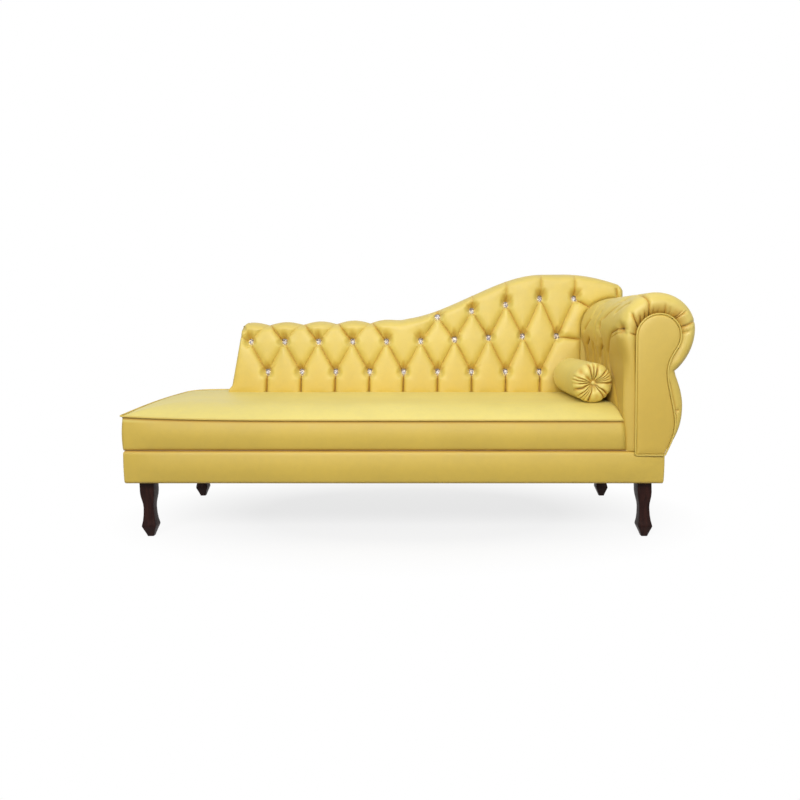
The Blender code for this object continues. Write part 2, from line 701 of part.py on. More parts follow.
def dimple(point, buttons, pleats, depth, pleat_depth):
    """How deep the fabric is drawn in here by the nearest button or pleat."""
    nearest = min(math.dist(point, button) for button in buttons)
    share = 1 - max(nearest - TUFT_FLOOR, 0.0) / TUFT_REACH
    pit = depth * max(share, 0.0) ** 2
    crease = min(distance_to(point, *pleat) for pleat in pleats)
    return max(pit, pleat_depth * max(1 - crease / PLEAT_HALF_WIDTH, 0.0))


def back_mesh_points(outline, buttons, pleats):
    """Flat points for the buttoned face: the outline, two rings inside it, tufts and pleats."""
    points = [Vector(place) for place in outline]
    count = len(points)
    edges = [(i, (i + 1) % count) for i in range(count)]
    for reach in (PAD_ROUNDING * 0.3, PAD_ROUNDING):
        for i in range(1, count - 1):
            along = (Vector(outline[i + 1]) - Vector(outline[i - 1])).normalized()
            inward = Vector((along.y, -along.x))
            place = Vector(outline[i]) + inward * reach
            if place.y > BACK_FOOT + reach:
                points.append(place)
    for x, z in buttons:
        points.append(Vector((x, z)))
        for k in range(8):
            angle = math.pi / 4 * (k + 0.5)
            points.append(Vector((x + TUFT_FLOOR * math.cos(angle), z + TUFT_FLOOR * math.sin(angle))))
    for start, end in pleats:
        a, b = Vector(start), Vector(end)
        across = Vector((-(b - a).y, (b - a).x)).normalized() * PLEAT_HALF_WIDTH
        hold = TUFT_FLOOR / (b - a).length
        stop = 1 - hold if end in buttons else 1.0
        first = len(points)
        points += [a.lerp(b, share) for share in (hold, 0.36, 0.66, stop)]
        edges += [(first + i, first + i + 1) for i in range(3)]
        points += [a.lerp(b, 0.55) + across, a.lerp(b, 0.55) - across]
    for margin in (ARM_SHADOW * 0.4, ARM_SHADOW):
        side = ROLL_X - ROLL_HALF_WIDTH - margin
        levels = spread(BACK_FOOT + margin, ROLL_HEIGHT - DECK_TOP - margin, 0.04)
        points += [Vector((side, z)) for z in levels]
        for i in range(13):
            angle = math.radians(180 - 103 * i / 12)
            x = ROLL_X + (ROLL_HALF_WIDTH + margin) * math.cos(angle)
            z = ROLL_HEIGHT - DECK_TOP + (ROLL_RISE + margin) * math.sin(angle)
            points.append(Vector((x, z)))
    return points, edges


def behind_arm(x, z):
    """Whether this place on the back's face lies behind the arm, with a margin round it."""
    height = z - (ROLL_HEIGHT - DECK_TOP)
    if height > 0:
        wide = (x - ROLL_X) / (ROLL_HALF_WIDTH + ARM_SHADOW)
        return wide * wide + (height / (ROLL_RISE + ARM_SHADOW)) ** 2 < 1.001
    return x > ROLL_X - ROLL_HALF_WIDTH - ARM_SHADOW - 0.0001


def back_face_thickness(x, z, outline, buttons, pleats):
    """Distance from the plywood panel to the pad's face at this place."""
    upright = PAD_LOWER_THICKNESS + z * math.tan(BACK_LEAN)
    beside = ROLL_HEIGHT + ROLL_RISE - DECK_TOP
    seat_line = (SEAT_TOP - DECK_TOP) / math.cos(BACK_LEAN)
    if behind_arm(x, z):
        thickness = PAD_LOWER_THICKNESS
    elif z < seat_line:
        thickness = min(upright, PAD_THICKNESS)
    else:
        thickness = PAD_THICKNESS
    if z >= seat_line:
        drawn = PAD_THICKNESS - dimple((x, z), buttons, pleats, TUFT_DEPTH, PLEAT_DEPTH)
        thickness = min(thickness, drawn)
    edge = PAD_ROUNDING
    for a, b in zip(outline, outline[1:]):
        beside_arm = a[0] > BACK_RIGHT - GAP and b[0] > BACK_RIGHT - GAP and b[1] < beside
        reach = distance_to((x, z), a, b) * (PAD_ROUNDING / PAD_SIDE_ROUNDING if beside_arm else 1.0)
        edge = min(edge, reach)
    if edge < PAD_ROUNDING:
        share = 1 - edge / PAD_ROUNDING
        full = thickness + PAD_EDGE_SETBACK
        thickness = full * math.sqrt(max(1 - share * share, 0.0)) - PAD_EDGE_SETBACK
    return thickness


def back(parts, cutters):
    """The buttoned back: pad, panel, posts and rear cover, leaned together."""
    lean = bpy.data.objects.new("back_lean", None)
    lean.location = (0, BACK_FACE, DECK_TOP)
    lean.rotation_euler.x = -BACK_LEAN
    parts.objects.link(lean)

    inside = back_outline(PAD_ROLL + GAP)
    plate("back_panel", inside, 0.0, PANEL_THICKNESS, PLYWOOD, parts, lean)
    post_low = PANEL_THICKNESS + GAP
    cover_low = post_low + POST_DEPTH + GAP
    plate("back_outside_cover", inside, cover_low, cover_low + REAR_COVER_THICKNESS, FABRIC, parts, lean)
    first = left_line(BACK_LOW_TOP) + PAD_ROLL * 1.3
    last = BACK_RIGHT - PAD_ROLL - BACK_CORNER - POST_WIDTH
    for i in range(POST_COUNT):
        x = first + (last - first) * i / (POST_COUNT - 1)
        top = min(top_line(x), top_line(x + POST_WIDTH)) - PAD_ROLL - 2 * GAP
        low = (x, post_low, BACK_FOOT)
        high = (x + POST_WIDTH, post_low + POST_DEPTH, top)
        box(f"back_post_{i + 1}", low, high, TIMBER, parts, lean)

    outline = back_outline(0.0, scalloped=True)
    low_row, middle_row, hump_row = button_rows()
    buttons = [*low_row, *middle_row, *hump_row]
    pleats = back_pleats()
    points, edges = back_mesh_points(outline, buttons, pleats)
    loop = [list(range(len(outline)))]
    flat, _, faces, _, _, _ = delaunay_2d_cdt(points, edges, loop, 1, 0.0005)
    bm = bmesh.new()
    verts = []
    for x, z in flat:
        verts.append(bm.verts.new((x, -back_face_thickness(x, z, outline, buttons, pleats), z)))
    for face in faces:
        bm.faces.new([verts[i] for i in face])
    bmesh.ops.delete(bm, geom=[v for v in bm.verts if not v.link_faces], context="VERTS")
    rim = [e for e in bm.edges if e.is_boundary]
    made = bmesh.ops.extrude_edge_only(bm, edges=rim)["geom"]
    for vert in [g for g in made if isinstance(g, bmesh.types.BMVert)]:
        vert.co.y = BACK_DEPTH
    rim = [g for g in made if isinstance(g, bmesh.types.BMEdge) and g.is_boundary]
    bmesh.ops.holes_fill(bm, edges=rim)
    pad = mesh_object("back_pad", bm, FABRIC, parts, parent=lean, smooth=60)

    hollow = back_outline(PAD_ROLL)
    below = BACK_FOOT - PAD_ROLL
    hollow = [(hollow[0][0], below), *hollow, (hollow[-1][0], below)]
    cutter = plate("back_hollow", hollow, -GAP, 2 * BACK_DEPTH, None, cutters, lean)
    boolean(pad, as_mesh(cutter), "DIFFERENCE")

    floor = PAD_THICKNESS - TUFT_DEPTH + GAP
    for number, (x, z) in enumerate(buttons, 1):
        crystal_button(f"crystal_button_{number:02d}", (x, -floor, z), parts, lean)


def crystal_button(name, place, parts, parent):
    """A faceted crystal in a round metal cup, facing the front."""
    top_radius = CRYSTAL_RADIUS * 0.40
    shoulder = CRYSTAL_RADIUS * 0.80
    shoulder_height = (CRYSTAL_RIM + CRYSTAL_HEIGHT) / 2 + CRYSTAL_RIM * 0.2
    profile = (
        (0.0, CRYSTAL_HEIGHT),
        (top_radius, CRYSTAL_HEIGHT),
        (shoulder, shoulder_height),
        (CRYSTAL_RADIUS, CRYSTAL_RIM),
        (CRYSTAL_RADIUS, 0.0),
        (0.0, 0.0),
    )
    button = turned(name, profile, CRYSTAL_FACETS, CRYSTAL, parts, place, parent)
    button.rotation_euler.x = math.radians(90)


def arm_profile():
    """(x, z) points of the arm's cross-section, from its inner foot over the roll to its outer foot."""
    stretches = []
    roll_left = ROLL_X - ROLL_HALF_WIDTH

    def flare(t):
        z = PAD_FOOT + (SEAT_TOP - PAD_FOOT) * t
        return arm_face(z), z

    def inner(t):
        z = SEAT_TOP + (ROLL_HEIGHT - SEAT_TOP) * t
        share = ease((z - ARM_FLAT_TOP) / (ROLL_HEIGHT - ARM_FLAT_TOP))
        return ARM_FACE + (roll_left - ARM_FACE) * share, z

    def over(t):
        angle = math.pi * (1 - t)
        return ROLL_X + ROLL_HALF_WIDTH * math.cos(angle), ROLL_HEIGHT + ROLL_RISE * math.sin(angle)

    def under(t):
        angle = -ROLL_UNDER_ANGLE * t
        return ROLL_X + ROLL_HALF_WIDTH * math.cos(angle), ROLL_HEIGHT + ROLL_DROP * math.sin(angle)

    def belly_top(t):
        x = NOTCH_OVERHANG + (BELLY_OVERHANG - NOTCH_OVERHANG) * math.sin(math.pi / 2 * t)
        return RIGHT + x, NOTCH_HEIGHT + (BELLY_HEIGHT - NOTCH_HEIGHT) * t

    def belly_low(t):
        return RIGHT + BELLY_OVERHANG * (1 - t ** 2.4), BELLY_HEIGHT + (PAD_FOOT - BELLY_HEIGHT) * t

    for stretch in (flare, inner, over, under, belly_top, belly_low):
        fine = [stretch(i / 40) for i in range(41)]
        length = sum(math.dist(a, b) for a, b in zip(fine, fine[1:]))
        count = max(2, round(length / PROFILE_STEP))
        stretches += [stretch(i / count) for i in range(count)]
    stretches.append((RIGHT, PAD_FOOT))
    return stretches


def arm_tufts(profile, lengths):
    """Tufts and pleats of the arm, as (distance round the section, depth from the front)."""
    side = min(range(len(profile)), key=lambda i: abs(profile[i][0] - ROLL_X + ROLL_HALF_WIDTH)
               + abs(profile[i][1] - ROLL_HEIGHT))
    top_x = ROLL_X + ROLL_HALF_WIDTH * math.cos(ARM_TOP_TUFT_ANGLE)
    top = min(range(len(profile)), key=lambda i: abs(profile[i][0] - top_x) if i > side else 9.0)
    seat_line = SEAT_TOP - PAD_FOOT
    span = ARM_END - FRONT
    rows = []
    for row, start in ((lengths[side], ARM_FIRST_TUFT), (lengths[top], ARM_FIRST_TUFT - BUTTON_PITCH / 2)):
        rows.append([(row, start + i * BUTTON_PITCH) for i in range(8) if start + i * BUTTON_PITCH < span])
    pleats = []
    for place in rows[0]:
        pleats.append((place, (seat_line, place[1])))
        for other in rows[1]:
            if abs(other[1] - place[1]) < BUTTON_PITCH * 0.6:
                pleats.append((place, other))
    for place in rows[1]:
        pleats.append((place, (lengths[-1] * 0.66, place[1])))
    return [*rows[0], *rows[1]], pleats


def arm_pad(parts, cutters):
    """The pad that wraps the arm, pleated below its tufts and hollow for the arm's boards."""
    profile = arm_profile()
    lengths = [0.0]
    for a, b in zip(profile, profile[1:]):
        lengths.append(lengths[-1] + math.dist(a, b))
    normals = []
    for i in range(len(profile)):
        before = profile[max(i - 1, 0)]
        after = profile[min(i + 1, len(profile) - 1)]
        along = Vector((after[0] - before[0], after[1] - before[1])).normalized()
        normals.append(Vector((-along.y, along.x)))
    tufts, pleats = arm_tufts(profile, lengths)
    span = ARM_END - FRONT
    step = BUTTON_PITCH / 4
    depths = [0.0, ARM_FRONT_ROUNDING * 0.3]
    depths += [ARM_FIRST_TUFT + i * step for i in range(-2, 60) if ARM_FIRST_TUFT + i * step < span - step / 2]
    depths.append(span)
    rings = []
    for depth in depths:
        nose = max(1 - depth / ARM_FRONT_ROUNDING, 0.0)
        tuck = ARM_FRONT_ROUNDING * (1 - math.sqrt(1 - nose * nose))
        share = depth / span
        ring = []
        for (x, z), length, normal in zip(profile, lengths, normals):
            drawn = tuck
            if z > SEAT_TOP and 0.0 < share < 1.0:
                drawn += dimple((length, depth), tufts, pleats, ARM_TUFT_DEPTH, ARM_PLEAT_DEPTH)
            inward = Vector((x, z)) - normal * drawn
            y = FRONT + GAP + depth - GAP * share + share * (z - DECK_TOP) * math.tan(BACK_LEAN)
            ring.append((inward.x, y, max(inward.y, PAD_FOOT) if z > PAD_FOOT else PAD_FOOT))
        rings.append(ring)
    pad = mesh_object("arm_pad", lofted(rings), FABRIC, parts, smooth=60)
    hollow = keyhole(ARM_BOARD_INSET - GAP)
    cutter = plate("arm_hollow", hollow, FRONT - 0.1, REAR, None, cutters)
    boolean(pad, as_mesh(cutter), "DIFFERENCE")


def keyhole(inset, foot=None):
    """(x, z) outline of the arm's front, from its left foot over the head to its right foot."""
    low = FACING_FOOT
    head = Vector((RIGHT - FACING_HEAD_INSET, FACING_HEAD_HEIGHT))
    radius = FACING_HEAD_RADIUS - inset
    points = [Vector((RIGHT - FACING_WIDTH + inset, low))]
    steps = 14
    for i in range(steps + 1):
        angle = math.pi + (FACING_HEAD_END - math.pi) * i / steps
        points.append(head + Vector((math.cos(angle), math.sin(angle))) * radius)
    waist = [
        points[-1],
        Vector((RIGHT - FACING_NECK_INSET - inset, FACING_NECK_HEIGHT)),
        Vector((RIGHT + FACING_BELLY_OVERHANG - inset, FACING_BELLY_HEIGHT)),
        Vector((RIGHT - FACING_FOOT_INSET - inset, low)),
    ]
    points += smooth_path(waist, 5)[1:]
    if foot is not None:
        for end, inner in ((0, 1), (-1, -2)):
            share = (foot - points[end].y) / (points[inner].y - points[end].y)
            points[end] = points[end].lerp(points[inner], share)
    return [(point.x, point.y) for point in points]


def arm(parts, cutters):
    """The arm: two keyhole boards, two stretchers, the pad round them and the padded facing."""
    board = keyhole(ARM_BOARD_INSET, DECK_TOP + GAP)
    front_low = FRONT + GAP
    front_high = front_low + ARM_BOARD_THICKNESS
    rear_high = ARM_END - GAP
    rear_low = rear_high - ARM_BOARD_THICKNESS
    plate("arm_front_board", board, front_low, front_high, PLYWOOD, parts)
    plate("arm_rear_board", board, rear_low, rear_high, PLYWOOD, parts)
    half = STRETCHER_SIDE / 2
    centre_x = RIGHT - FACING_HEAD_INSET
    for name, x, z in (
        ("arm_top_stretcher", centre_x, FACING_HEAD_HEIGHT),
        ("arm_bottom_stretcher", centre_x - half / 2, DECK_TOP + GAP + half),
    ):
        low = (x - half, front_high + GAP, z - half)
        box(name, low, (x + half, rear_low - GAP, z + half), TIMBER, parts)
    arm_pad(parts, cutters)

    facing = keyhole(0.0)
    plate("arm_facing", facing, FRONT - FACING_PROUD, FRONT - GAP, FABRIC, parts, rounding=FACING_EDGE_ROUNDING)
    welt_y = FRONT - FACING_PROUD + FACING_WELT_RADIUS + GAP
    path = keyhole(-FACING_WELT_RADIUS - GAP)
    left_x, right_x = path[0][0], path[-1][0]
    low = path[0][1] - FACING_WELT_RADIUS - GAP
    points = [(left_x, welt_y, low), *[(x, welt_y, z) for x, z in path[1:-1]], (right_x, welt_y, low)]
    tube("arm_facing_welt", points, FACING_WELT_RADIUS, FABRIC, parts, cyclic=True)


def bolster(parts):
    """The loose bolster: gathered ends drawn in under a covered button at each."""
    x = ARM_FACE - BOLSTER_TO_ARM - BOLSTER_RADIUS
    y = FRONT + BOLSTER_FROM_FRONT + BOLSTER_LENGTH / 2
    z = SEAT_TOP + GAP + BOLSTER_RADIUS
    half = BOLSTER_LENGTH / 2
    hub = BOLSTER_BUTTON_RADIUS * 1.1
    rim = BOLSTER_RADIUS - BOLSTER_END_ROUNDING
    stations = [(hub, BOLSTER_DISH, 0.0), (hub + (rim - hub) * 0.35, BOLSTER_DISH * 0.35, 1.0)]
    stations.append((rim, 0.0, 1.0))
    for share in (0.4, 0.75, 1.0):
        angle = math.pi / 2 * share
        radius = rim + BOLSTER_END_ROUNDING * math.sin(angle)
        stations.append((radius, BOLSTER_END_ROUNDING * (1 - math.cos(angle)), 1.0 - share))
    segments = 2 * BOLSTER_GATHERS
    rings = []
    for radius, setback, gathered in stations:
        rings.append((radius, -half + setback, gathered, 1))
    for radius, setback, gathered in reversed(stations):
        rings.append((radius, half - setback, gathered, -1))
    circles = []
    for radius, along, gathered, side in rings:
        circle = []
        for k in range(segments):
            angle = 2 * math.pi * k / segments
            fold = BOLSTER_GATHER_DEPTH * gathered * (k % 2)
            circle.append(((radius - fold * 0.4) * math.cos(angle), along + side * fold, radius * math.sin(angle)))
        circles.append(circle)
    body = mesh_object("bolster", lofted(circles), FABRIC, parts, (x, y, z), smooth=50)
    shoulder = BOLSTER_BUTTON_RADIUS * 0.8
    profile = (
        (0.0, BOLSTER_BUTTON_HEIGHT),
        (shoulder * 0.6, BOLSTER_BUTTON_HEIGHT * 0.93),
        (shoulder, BOLSTER_BUTTON_HEIGHT * 0.7),
        (BOLSTER_BUTTON_RADIUS, BOLSTER_BUTTON_HEIGHT * 0.3),
        (BOLSTER_BUTTON_RADIUS * 0.8, 0.0),
        (0.0, 0.0),
    )
    for name, side in (("front", -1), ("rear", 1)):
        place = (0, side * (half - BOLSTER_DISH + GAP), 0)
        button = turned(f"bolster_button_{name}", profile, 16, FABRIC, parts, place, body)
        button.rotation_euler.x = -side * math.radians(90)


def main():
    for obj in list(bpy.data.objects):
        bpy.data.objects.remove(obj)
    parts = bpy.data.collections.new("recamier")
    cutters = bpy.data.collections.new("recamier_cutters")
    bpy.context.scene.collection.children.link(parts)
    bpy.context.scene.collection.children.link(cutters)
    inside = base_frame(parts)
    legs(parts, cutters, inside)
    base_covers(parts, cutters)
    seat(parts)
    back(parts, cutters)
    arm(parts, cutters)
    bolster(parts)


main()
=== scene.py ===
"""The looks of the recamier: buttoned upholstery, carved legs, crystals, floor, light and camera."""

import math

import bmesh
import bpy
import numpy as np
from bpy.props import FloatProperty, FloatVectorProperty, IntProperty, PointerProperty
from mathutils import Matrix, Vector, noise


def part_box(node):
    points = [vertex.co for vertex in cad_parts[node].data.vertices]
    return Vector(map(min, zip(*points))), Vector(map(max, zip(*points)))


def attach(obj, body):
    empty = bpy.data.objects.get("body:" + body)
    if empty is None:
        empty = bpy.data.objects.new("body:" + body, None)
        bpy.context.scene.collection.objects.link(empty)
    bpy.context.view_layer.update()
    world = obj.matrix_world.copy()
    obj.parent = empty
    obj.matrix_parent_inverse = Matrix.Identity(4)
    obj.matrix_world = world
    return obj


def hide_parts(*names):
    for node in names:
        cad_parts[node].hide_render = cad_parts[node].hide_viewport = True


bl_info = {
    "name": "Recamier",
    "version": (1, 0, 0),
    "blender": (4, 5, 0),
    "location": "3D View > Sidebar > Recamier",
    "description": "Builds the upholstered recamier round its packed frame",
    "category": "Object",
}

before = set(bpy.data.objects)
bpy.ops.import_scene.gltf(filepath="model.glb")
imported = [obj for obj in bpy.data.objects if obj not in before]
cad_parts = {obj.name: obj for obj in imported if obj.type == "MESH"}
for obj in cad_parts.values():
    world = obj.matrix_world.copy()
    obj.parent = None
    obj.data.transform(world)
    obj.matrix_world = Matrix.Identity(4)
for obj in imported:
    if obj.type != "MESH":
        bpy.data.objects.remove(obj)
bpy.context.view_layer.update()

# The frame's own sizes, in metres, as the solids have them
LEFT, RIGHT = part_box("base_cover")[0][0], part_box("base_cover")[1][0]
FRONT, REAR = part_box("base_cover")[0][1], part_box("base_cover")[1][1]
DECK_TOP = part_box("seat_deck")[1][2]
BAND_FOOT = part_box("base_cover")[0][2]
PAD_FOOT = DECK_TOP + 0.0003
WELT_LEVEL = PAD_FOOT + 0.100
SEAT_TOP = WELT_LEVEL + 0.043
ARM_FACE = RIGHT - 0.1375
ARM_FLARE = 0.012
BACK_LEFT, BACK_RIGHT = LEFT + 0.176, RIGHT + 0.022
BACK_SLANT = 0.077
BACK_LOW_TOP = 0.416
BACK_THICK = 0.075
BACK_THIN = 0.062
BACK_FULL_DEPTH = 0.0686
BACK_LEAN = math.radians(4.0)
BACK_FACE = REAR - BACK_FULL_DEPTH * math.cos(BACK_LEAN)
BACK_FOOT = BACK_FULL_DEPTH * math.sin(BACK_LEAN) + 0.0003
SEAT_BACK = BACK_FACE - BACK_THIN - 0.0015
ARM_SPAN = BACK_FACE - (BACK_THIN + 0.0012) / math.cos(BACK_LEAN) - FRONT
HUMP_X, CREST_X = BACK_RIGHT - 0.917, BACK_RIGHT - 0.242
FIRST_BUTTON_X = LEFT + 0.354
BUTTON_PITCH = (BACK_RIGHT - 0.340 - FIRST_BUTTON_X) / 8
ROLL_HALF, ROLL_RISE, ROLL_DROP = 0.124, 0.117, 0.150
ROLL_X, ROLL_HEIGHT = RIGHT + 0.090 - ROLL_HALF, 0.690
NOTCH_HEIGHT = ROLL_HEIGHT - 0.146
BELLY_HEIGHT = (NOTCH_HEIGHT + PAD_FOOT) / 2 + 0.0195
HEAD_X, HEAD_HEIGHT, HEAD_RADIUS = RIGHT - 0.035, ROLL_HEIGHT - 0.022, 0.068
FACING_FOOT = DECK_TOP - 0.010
ROLL_LEFT = ROLL_X - ROLL_HALF
LIP, LIP_ROUND = 0.080, 0.045
SEAT_NOTCH = BACK_LEFT + BACK_SLANT * (SEAT_TOP - DECK_TOP) / BACK_LOW_TOP - 0.001
SEAT_UP_BACK = (SEAT_TOP - DECK_TOP) / math.cos(BACK_LEAN)

# How the sheets are cut along a fold, and how the cloth and its piping are made
CUT_REACH, CUT_OFFSETS = 0.0055, (0.0, 0.0022, -0.0022)
CLOTH_THICK, PIPING_RADIUS = 0.0025, 0.0029
AIR_FRAMES = 8
CLOTH_RULES = {
    "quality": 5, "mass": 0.25, "tension_stiffness": 18, "compression_stiffness": 18, "shear_stiffness": 8,
    "bending_stiffness": 0.6, "tension_damping": 12, "air_damping": 4, "use_pressure": True,
    "vertex_group_mass": "held",
}

# Colours of the painted shade in seams and the deepest creases, the cloth's specks and the backdrop
DEEPEST_SHADE_COLOUR, SPECK_COLOUR = (0.13, 0.085, 0.012, 1.0), (0.42, 0.30, 0.06, 1.0)
WHITE = (1.0, 1.0, 1.0, 1.0)

# The carved leg's half width at heights above the floor
LEG_PROFILE = (
    (0.0, 0.0102), (0.004, 0.0114), (0.018, 0.0166), (0.032, 0.0221), (0.0365, 0.0233), (0.041, 0.0229),
    (0.055, 0.0199), (0.075, 0.0177), (0.098, 0.0168), (0.112, 0.0176), (0.125, 0.0199), (0.138, 0.0222),
    (0.150, 0.0233), (0.156, 0.0235), (0.170, 0.0235), (0.1907, 0.0235),
)


# Sizes and colours that a user would change
class RecamierClothSettings(bpy.types.PropertyGroup):
    # Painted light and shade: the first colour below is the cloth as lit, the second the same cloth as
    # shaded, and each piece mixes them by how light falls on it
    colour: FloatVectorProperty(
        name="Colour", description="Colour of the cloth where its nap is brushed towards the light",
        subtype="COLOR", size=3, min=0, max=1, default=(0.765, 0.645, 0.178))
    shaded_colour: FloatVectorProperty(
        name="Shaded colour", description="Colour of the cloth where its nap is brushed away from the light",
        subtype="COLOR", size=3, min=0, max=1, default=(0.620, 0.437, 0.062))
    # Painted shade: this colour is mixed in where folds, creases, seams and pits lie in shade
    fold_colour: FloatVectorProperty(
        name="Painted shade colour", description="Deeper colour inside folds and creases", subtype="COLOR", size=3,
        min=0, max=1, default=(0.55, 0.29, 0.022))
    roughness: FloatProperty(
        name="Roughness", description="Roughness of the cloth", default=0.52, min=0.05, max=1.0)
    grain: FloatProperty(
        name="Grain", description="Height of the cloth's fine grain", default=0.00012, unit="LENGTH")


class RecamierTuftSettings(bpy.types.PropertyGroup):
    depth: FloatProperty(
        name="Tuft depth", description="How far a button draws the back in", default=0.031, unit="LENGTH")
    valley: FloatProperty(
        name="Pleat valley", description="Depth of the valley along a pleat", default=0.011, unit="LENGTH")
    slot: FloatProperty(
        name="Pleat slot", description="Depth of the narrow fold in a pleat", default=0.006, unit="LENGTH")
    pucker: FloatProperty(
        name="Pucker", description="Height of the small wrinkles round a button", default=0.0002,
        unit="LENGTH")


class RecamierSeatSettings(bpy.types.PropertyGroup):
    crown: FloatProperty(
        name="Crown reach", description="How far in from its edge the seat reaches its full height",
        default=0.16, unit="LENGTH")
    swell: FloatProperty(
        name="Side swell", description="How far the boxed side stands out at its middle", default=0.008,
        unit="LENGTH")


class RecamierWoodSettings(bpy.types.PropertyGroup):
    leg_colour: FloatVectorProperty(
        name="Leg colour", description="Dark stain of the legs", subtype="COLOR", size=3, min=0, max=1,
        default=(0.034, 0.0105, 0.0075))
    leg_roughness: FloatProperty(
        name="Leg roughness", description="Roughness of the legs' lacquer", default=0.45, min=0.05, max=1.0)


class RecamierBolsterSettings(bpy.types.PropertyGroup):
    gathers: IntProperty(
        name="Gathers", description="Folds drawn in round each end of the bolster", default=18, min=8, max=40)
    gather_depth: FloatProperty(
        name="Gather depth", description="Depth of those folds", default=0.0105, unit="LENGTH")


class RecamierSettings(bpy.types.PropertyGroup):
    cloth: PointerProperty(type=RecamierClothSettings)
    tuft: PointerProperty(type=RecamierTuftSettings)
    seat: PointerProperty(type=RecamierSeatSettings)
    wood: PointerProperty(type=RecamierWoodSettings)
    bolster: PointerProperty(type=RecamierBolsterSettings)


def settings():
    return bpy.context.scene.recamier


# Small helpers
def ease(t):
    """0 to 1 with flat ends, clamped; takes numbers and arrays."""
    t = np.clip(t, 0.0, 1.0)
    return t * t * (3 - 2 * t)


def places_of(bm):
    return np.array([vert.co for vert in bm.verts])


def put_places(bm, places):
    for vert, place in zip(bm.verts, places):
        vert.co = place


def grid_sheet(across, up):
    """A flat sheet of faces with its columns at these values of x and its rows at these values of y."""
    bm = bmesh.new()
    bmesh.ops.create_grid(bm, x_segments=len(across) - 1, y_segments=len(up) - 1, size=0.5)
    places = places_of(bm)
    columns = np.rint((places[:, 0] + 0.5) * (len(across) - 1)).astype(int)
    rows = np.rint((places[:, 1] + 0.5) * (len(up) - 1)).astype(int)
    places[:, 0] = np.asarray(across)[columns]
    places[:, 1] = np.asarray(up)[rows]
    put_places(bm, places)
    return bm


def graded(low, high, step, fine, margin):
    """Values from low to high about a step apart, and about fine apart within margin of either end."""
    values = [0.0]
    length = high - low
    while values[-1] < length:
        near = min(values[-1], length - values[-1])
        values.append(values[-1] + fine + (step - fine) * float(ease(near / margin)))
    values = np.array(values)
    return low + values * (length / values[-1])


def keep_values(bm, **values):
    """Stores a number at each vertex, so that cuts and extrusions carry it along."""
    for name, numbers in values.items():
        layer = bm.verts.layers.float.new(name)
        for vert, number in zip(bm.verts, numbers):
            vert[layer] = number


def kept_values(bm, *names):
    """The numbers stored at the vertices, whose layers are then taken away."""
    found = []
    for name in names:
        layer = bm.verts.layers.float[name]
        found.append(np.array([vert[layer] for vert in bm.verts]))
        bm.verts.layers.float.remove(layer)
    return found


def extrude_edges(bm, edges):
    """Draws new faces out of these edges and gives the new vertices and the new open edges."""
    made = bmesh.ops.extrude_edge_only(bm, edges=edges)["geom"]
    verts = [item for item in made if isinstance(item, bmesh.types.BMVert)]
    return verts, [item for item in made if isinstance(item, bmesh.types.BMEdge) and item.is_boundary]


def open_edges(bm):
    return [edge for edge in bm.edges if edge.is_boundary]


def paired(a, b):
    return np.stack([a, b], axis=1)


def run_along(line):
    """How far each point of a line lies from its start, along the line."""
    return np.concatenate([[0.0], np.cumsum(np.linalg.norm(np.diff(line, axis=0), axis=1))])


def at_distance(spots, along, line):
    """Places on a flat line at these distances from its start."""
    return paired(np.interp(spots, along, line[:, 0]), np.interp(spots, along, line[:, 1]))


def make_piece(name, bm, finish, slot, body="sofa", fold=None, nap=None, flat=False, stands_for=(),
               fill=None):
    """Turns a bmesh into a piece that rides on a body and stands for CAD nodes."""
    mesh = bpy.data.meshes.new(name)
    bm.to_mesh(mesh)
    bm.free()
    if not flat:
        mesh.shade_smooth()
    for label, values in (("fold", fold), ("nap", nap)):
        if values is not None:
            layer = mesh.attributes.new(label, "FLOAT", "POINT")
            values = np.clip(values, 0.0, 1.0) * np.ones(len(mesh.vertices))
            layer.data.foreach_set("value", values.astype(np.float32))
    for look in finish if isinstance(finish, (list, tuple)) else [finish]:
        mesh.materials.append(look)
    obj = bpy.data.objects.new(name, mesh)
    bpy.context.scene.collection.objects.link(obj)
    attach(obj, body)
    if stands_for:
        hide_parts(*stands_for)
    return obj


def make_cover(name, bm, node, fill, **values):
    """An upholstered piece, its faces turned outwards, that stands for one CAD node."""
    bmesh.ops.recalc_face_normals(bm, faces=bm.faces)
    return make_piece(name, bm, upholstery(), "fabric", stands_for=(node,), fill=fill, **values)

def nearest_line(points, start, end):
    """Distance from each point to a line between two ends, and how far along it that is."""
    start, end = np.asarray(start, float), np.asarray(end, float)
    along = end - start
    share = np.clip((points - start) @ along / (along @ along), 0.0, 1.0)
    return np.linalg.norm(points - start - share[:, None] * along, axis=1), share


def drawn_in(points, creases, tufts, tall=False):
    """How deep thread draws the cloth in at flat points, and how deep in a crease each one lies.

    A crease is (start, end, valley at start, valley at end, reach, slot).
    A tuft is (place, depth, reach, floor).
    """
    wide = np.zeros(len(points))
    narrow = np.zeros(len(points))
    for start, end, low, high, reach, slot in creases:
        gap, share = nearest_line(points, start, end)
        valley = low + (high - low) * share
        wide = np.maximum(wide, valley * np.clip(1 - gap / reach, 0.0, 1.0) ** 2.4)
        narrow = np.maximum(narrow, slot * np.exp(-gap / 0.0020))
    for place, depth, reach, floor in tufts:
        across = points - np.asarray(place)
        if tall:
            stretch = np.where(across[:, 1] > 0, 0.85, 1.5)
            across = across * paired(np.full(len(points), 1.4), stretch)
        gap = np.linalg.norm(across, axis=1)
        pit = depth * np.clip(1 - np.maximum(gap - floor, 0.0) / reach, 0.0, 1.0) ** (2.6 if tall else 2.0)
        wide = np.maximum(wide, pit)
        narrow = np.where(gap < floor, 0.0, narrow)
    return wide, narrow


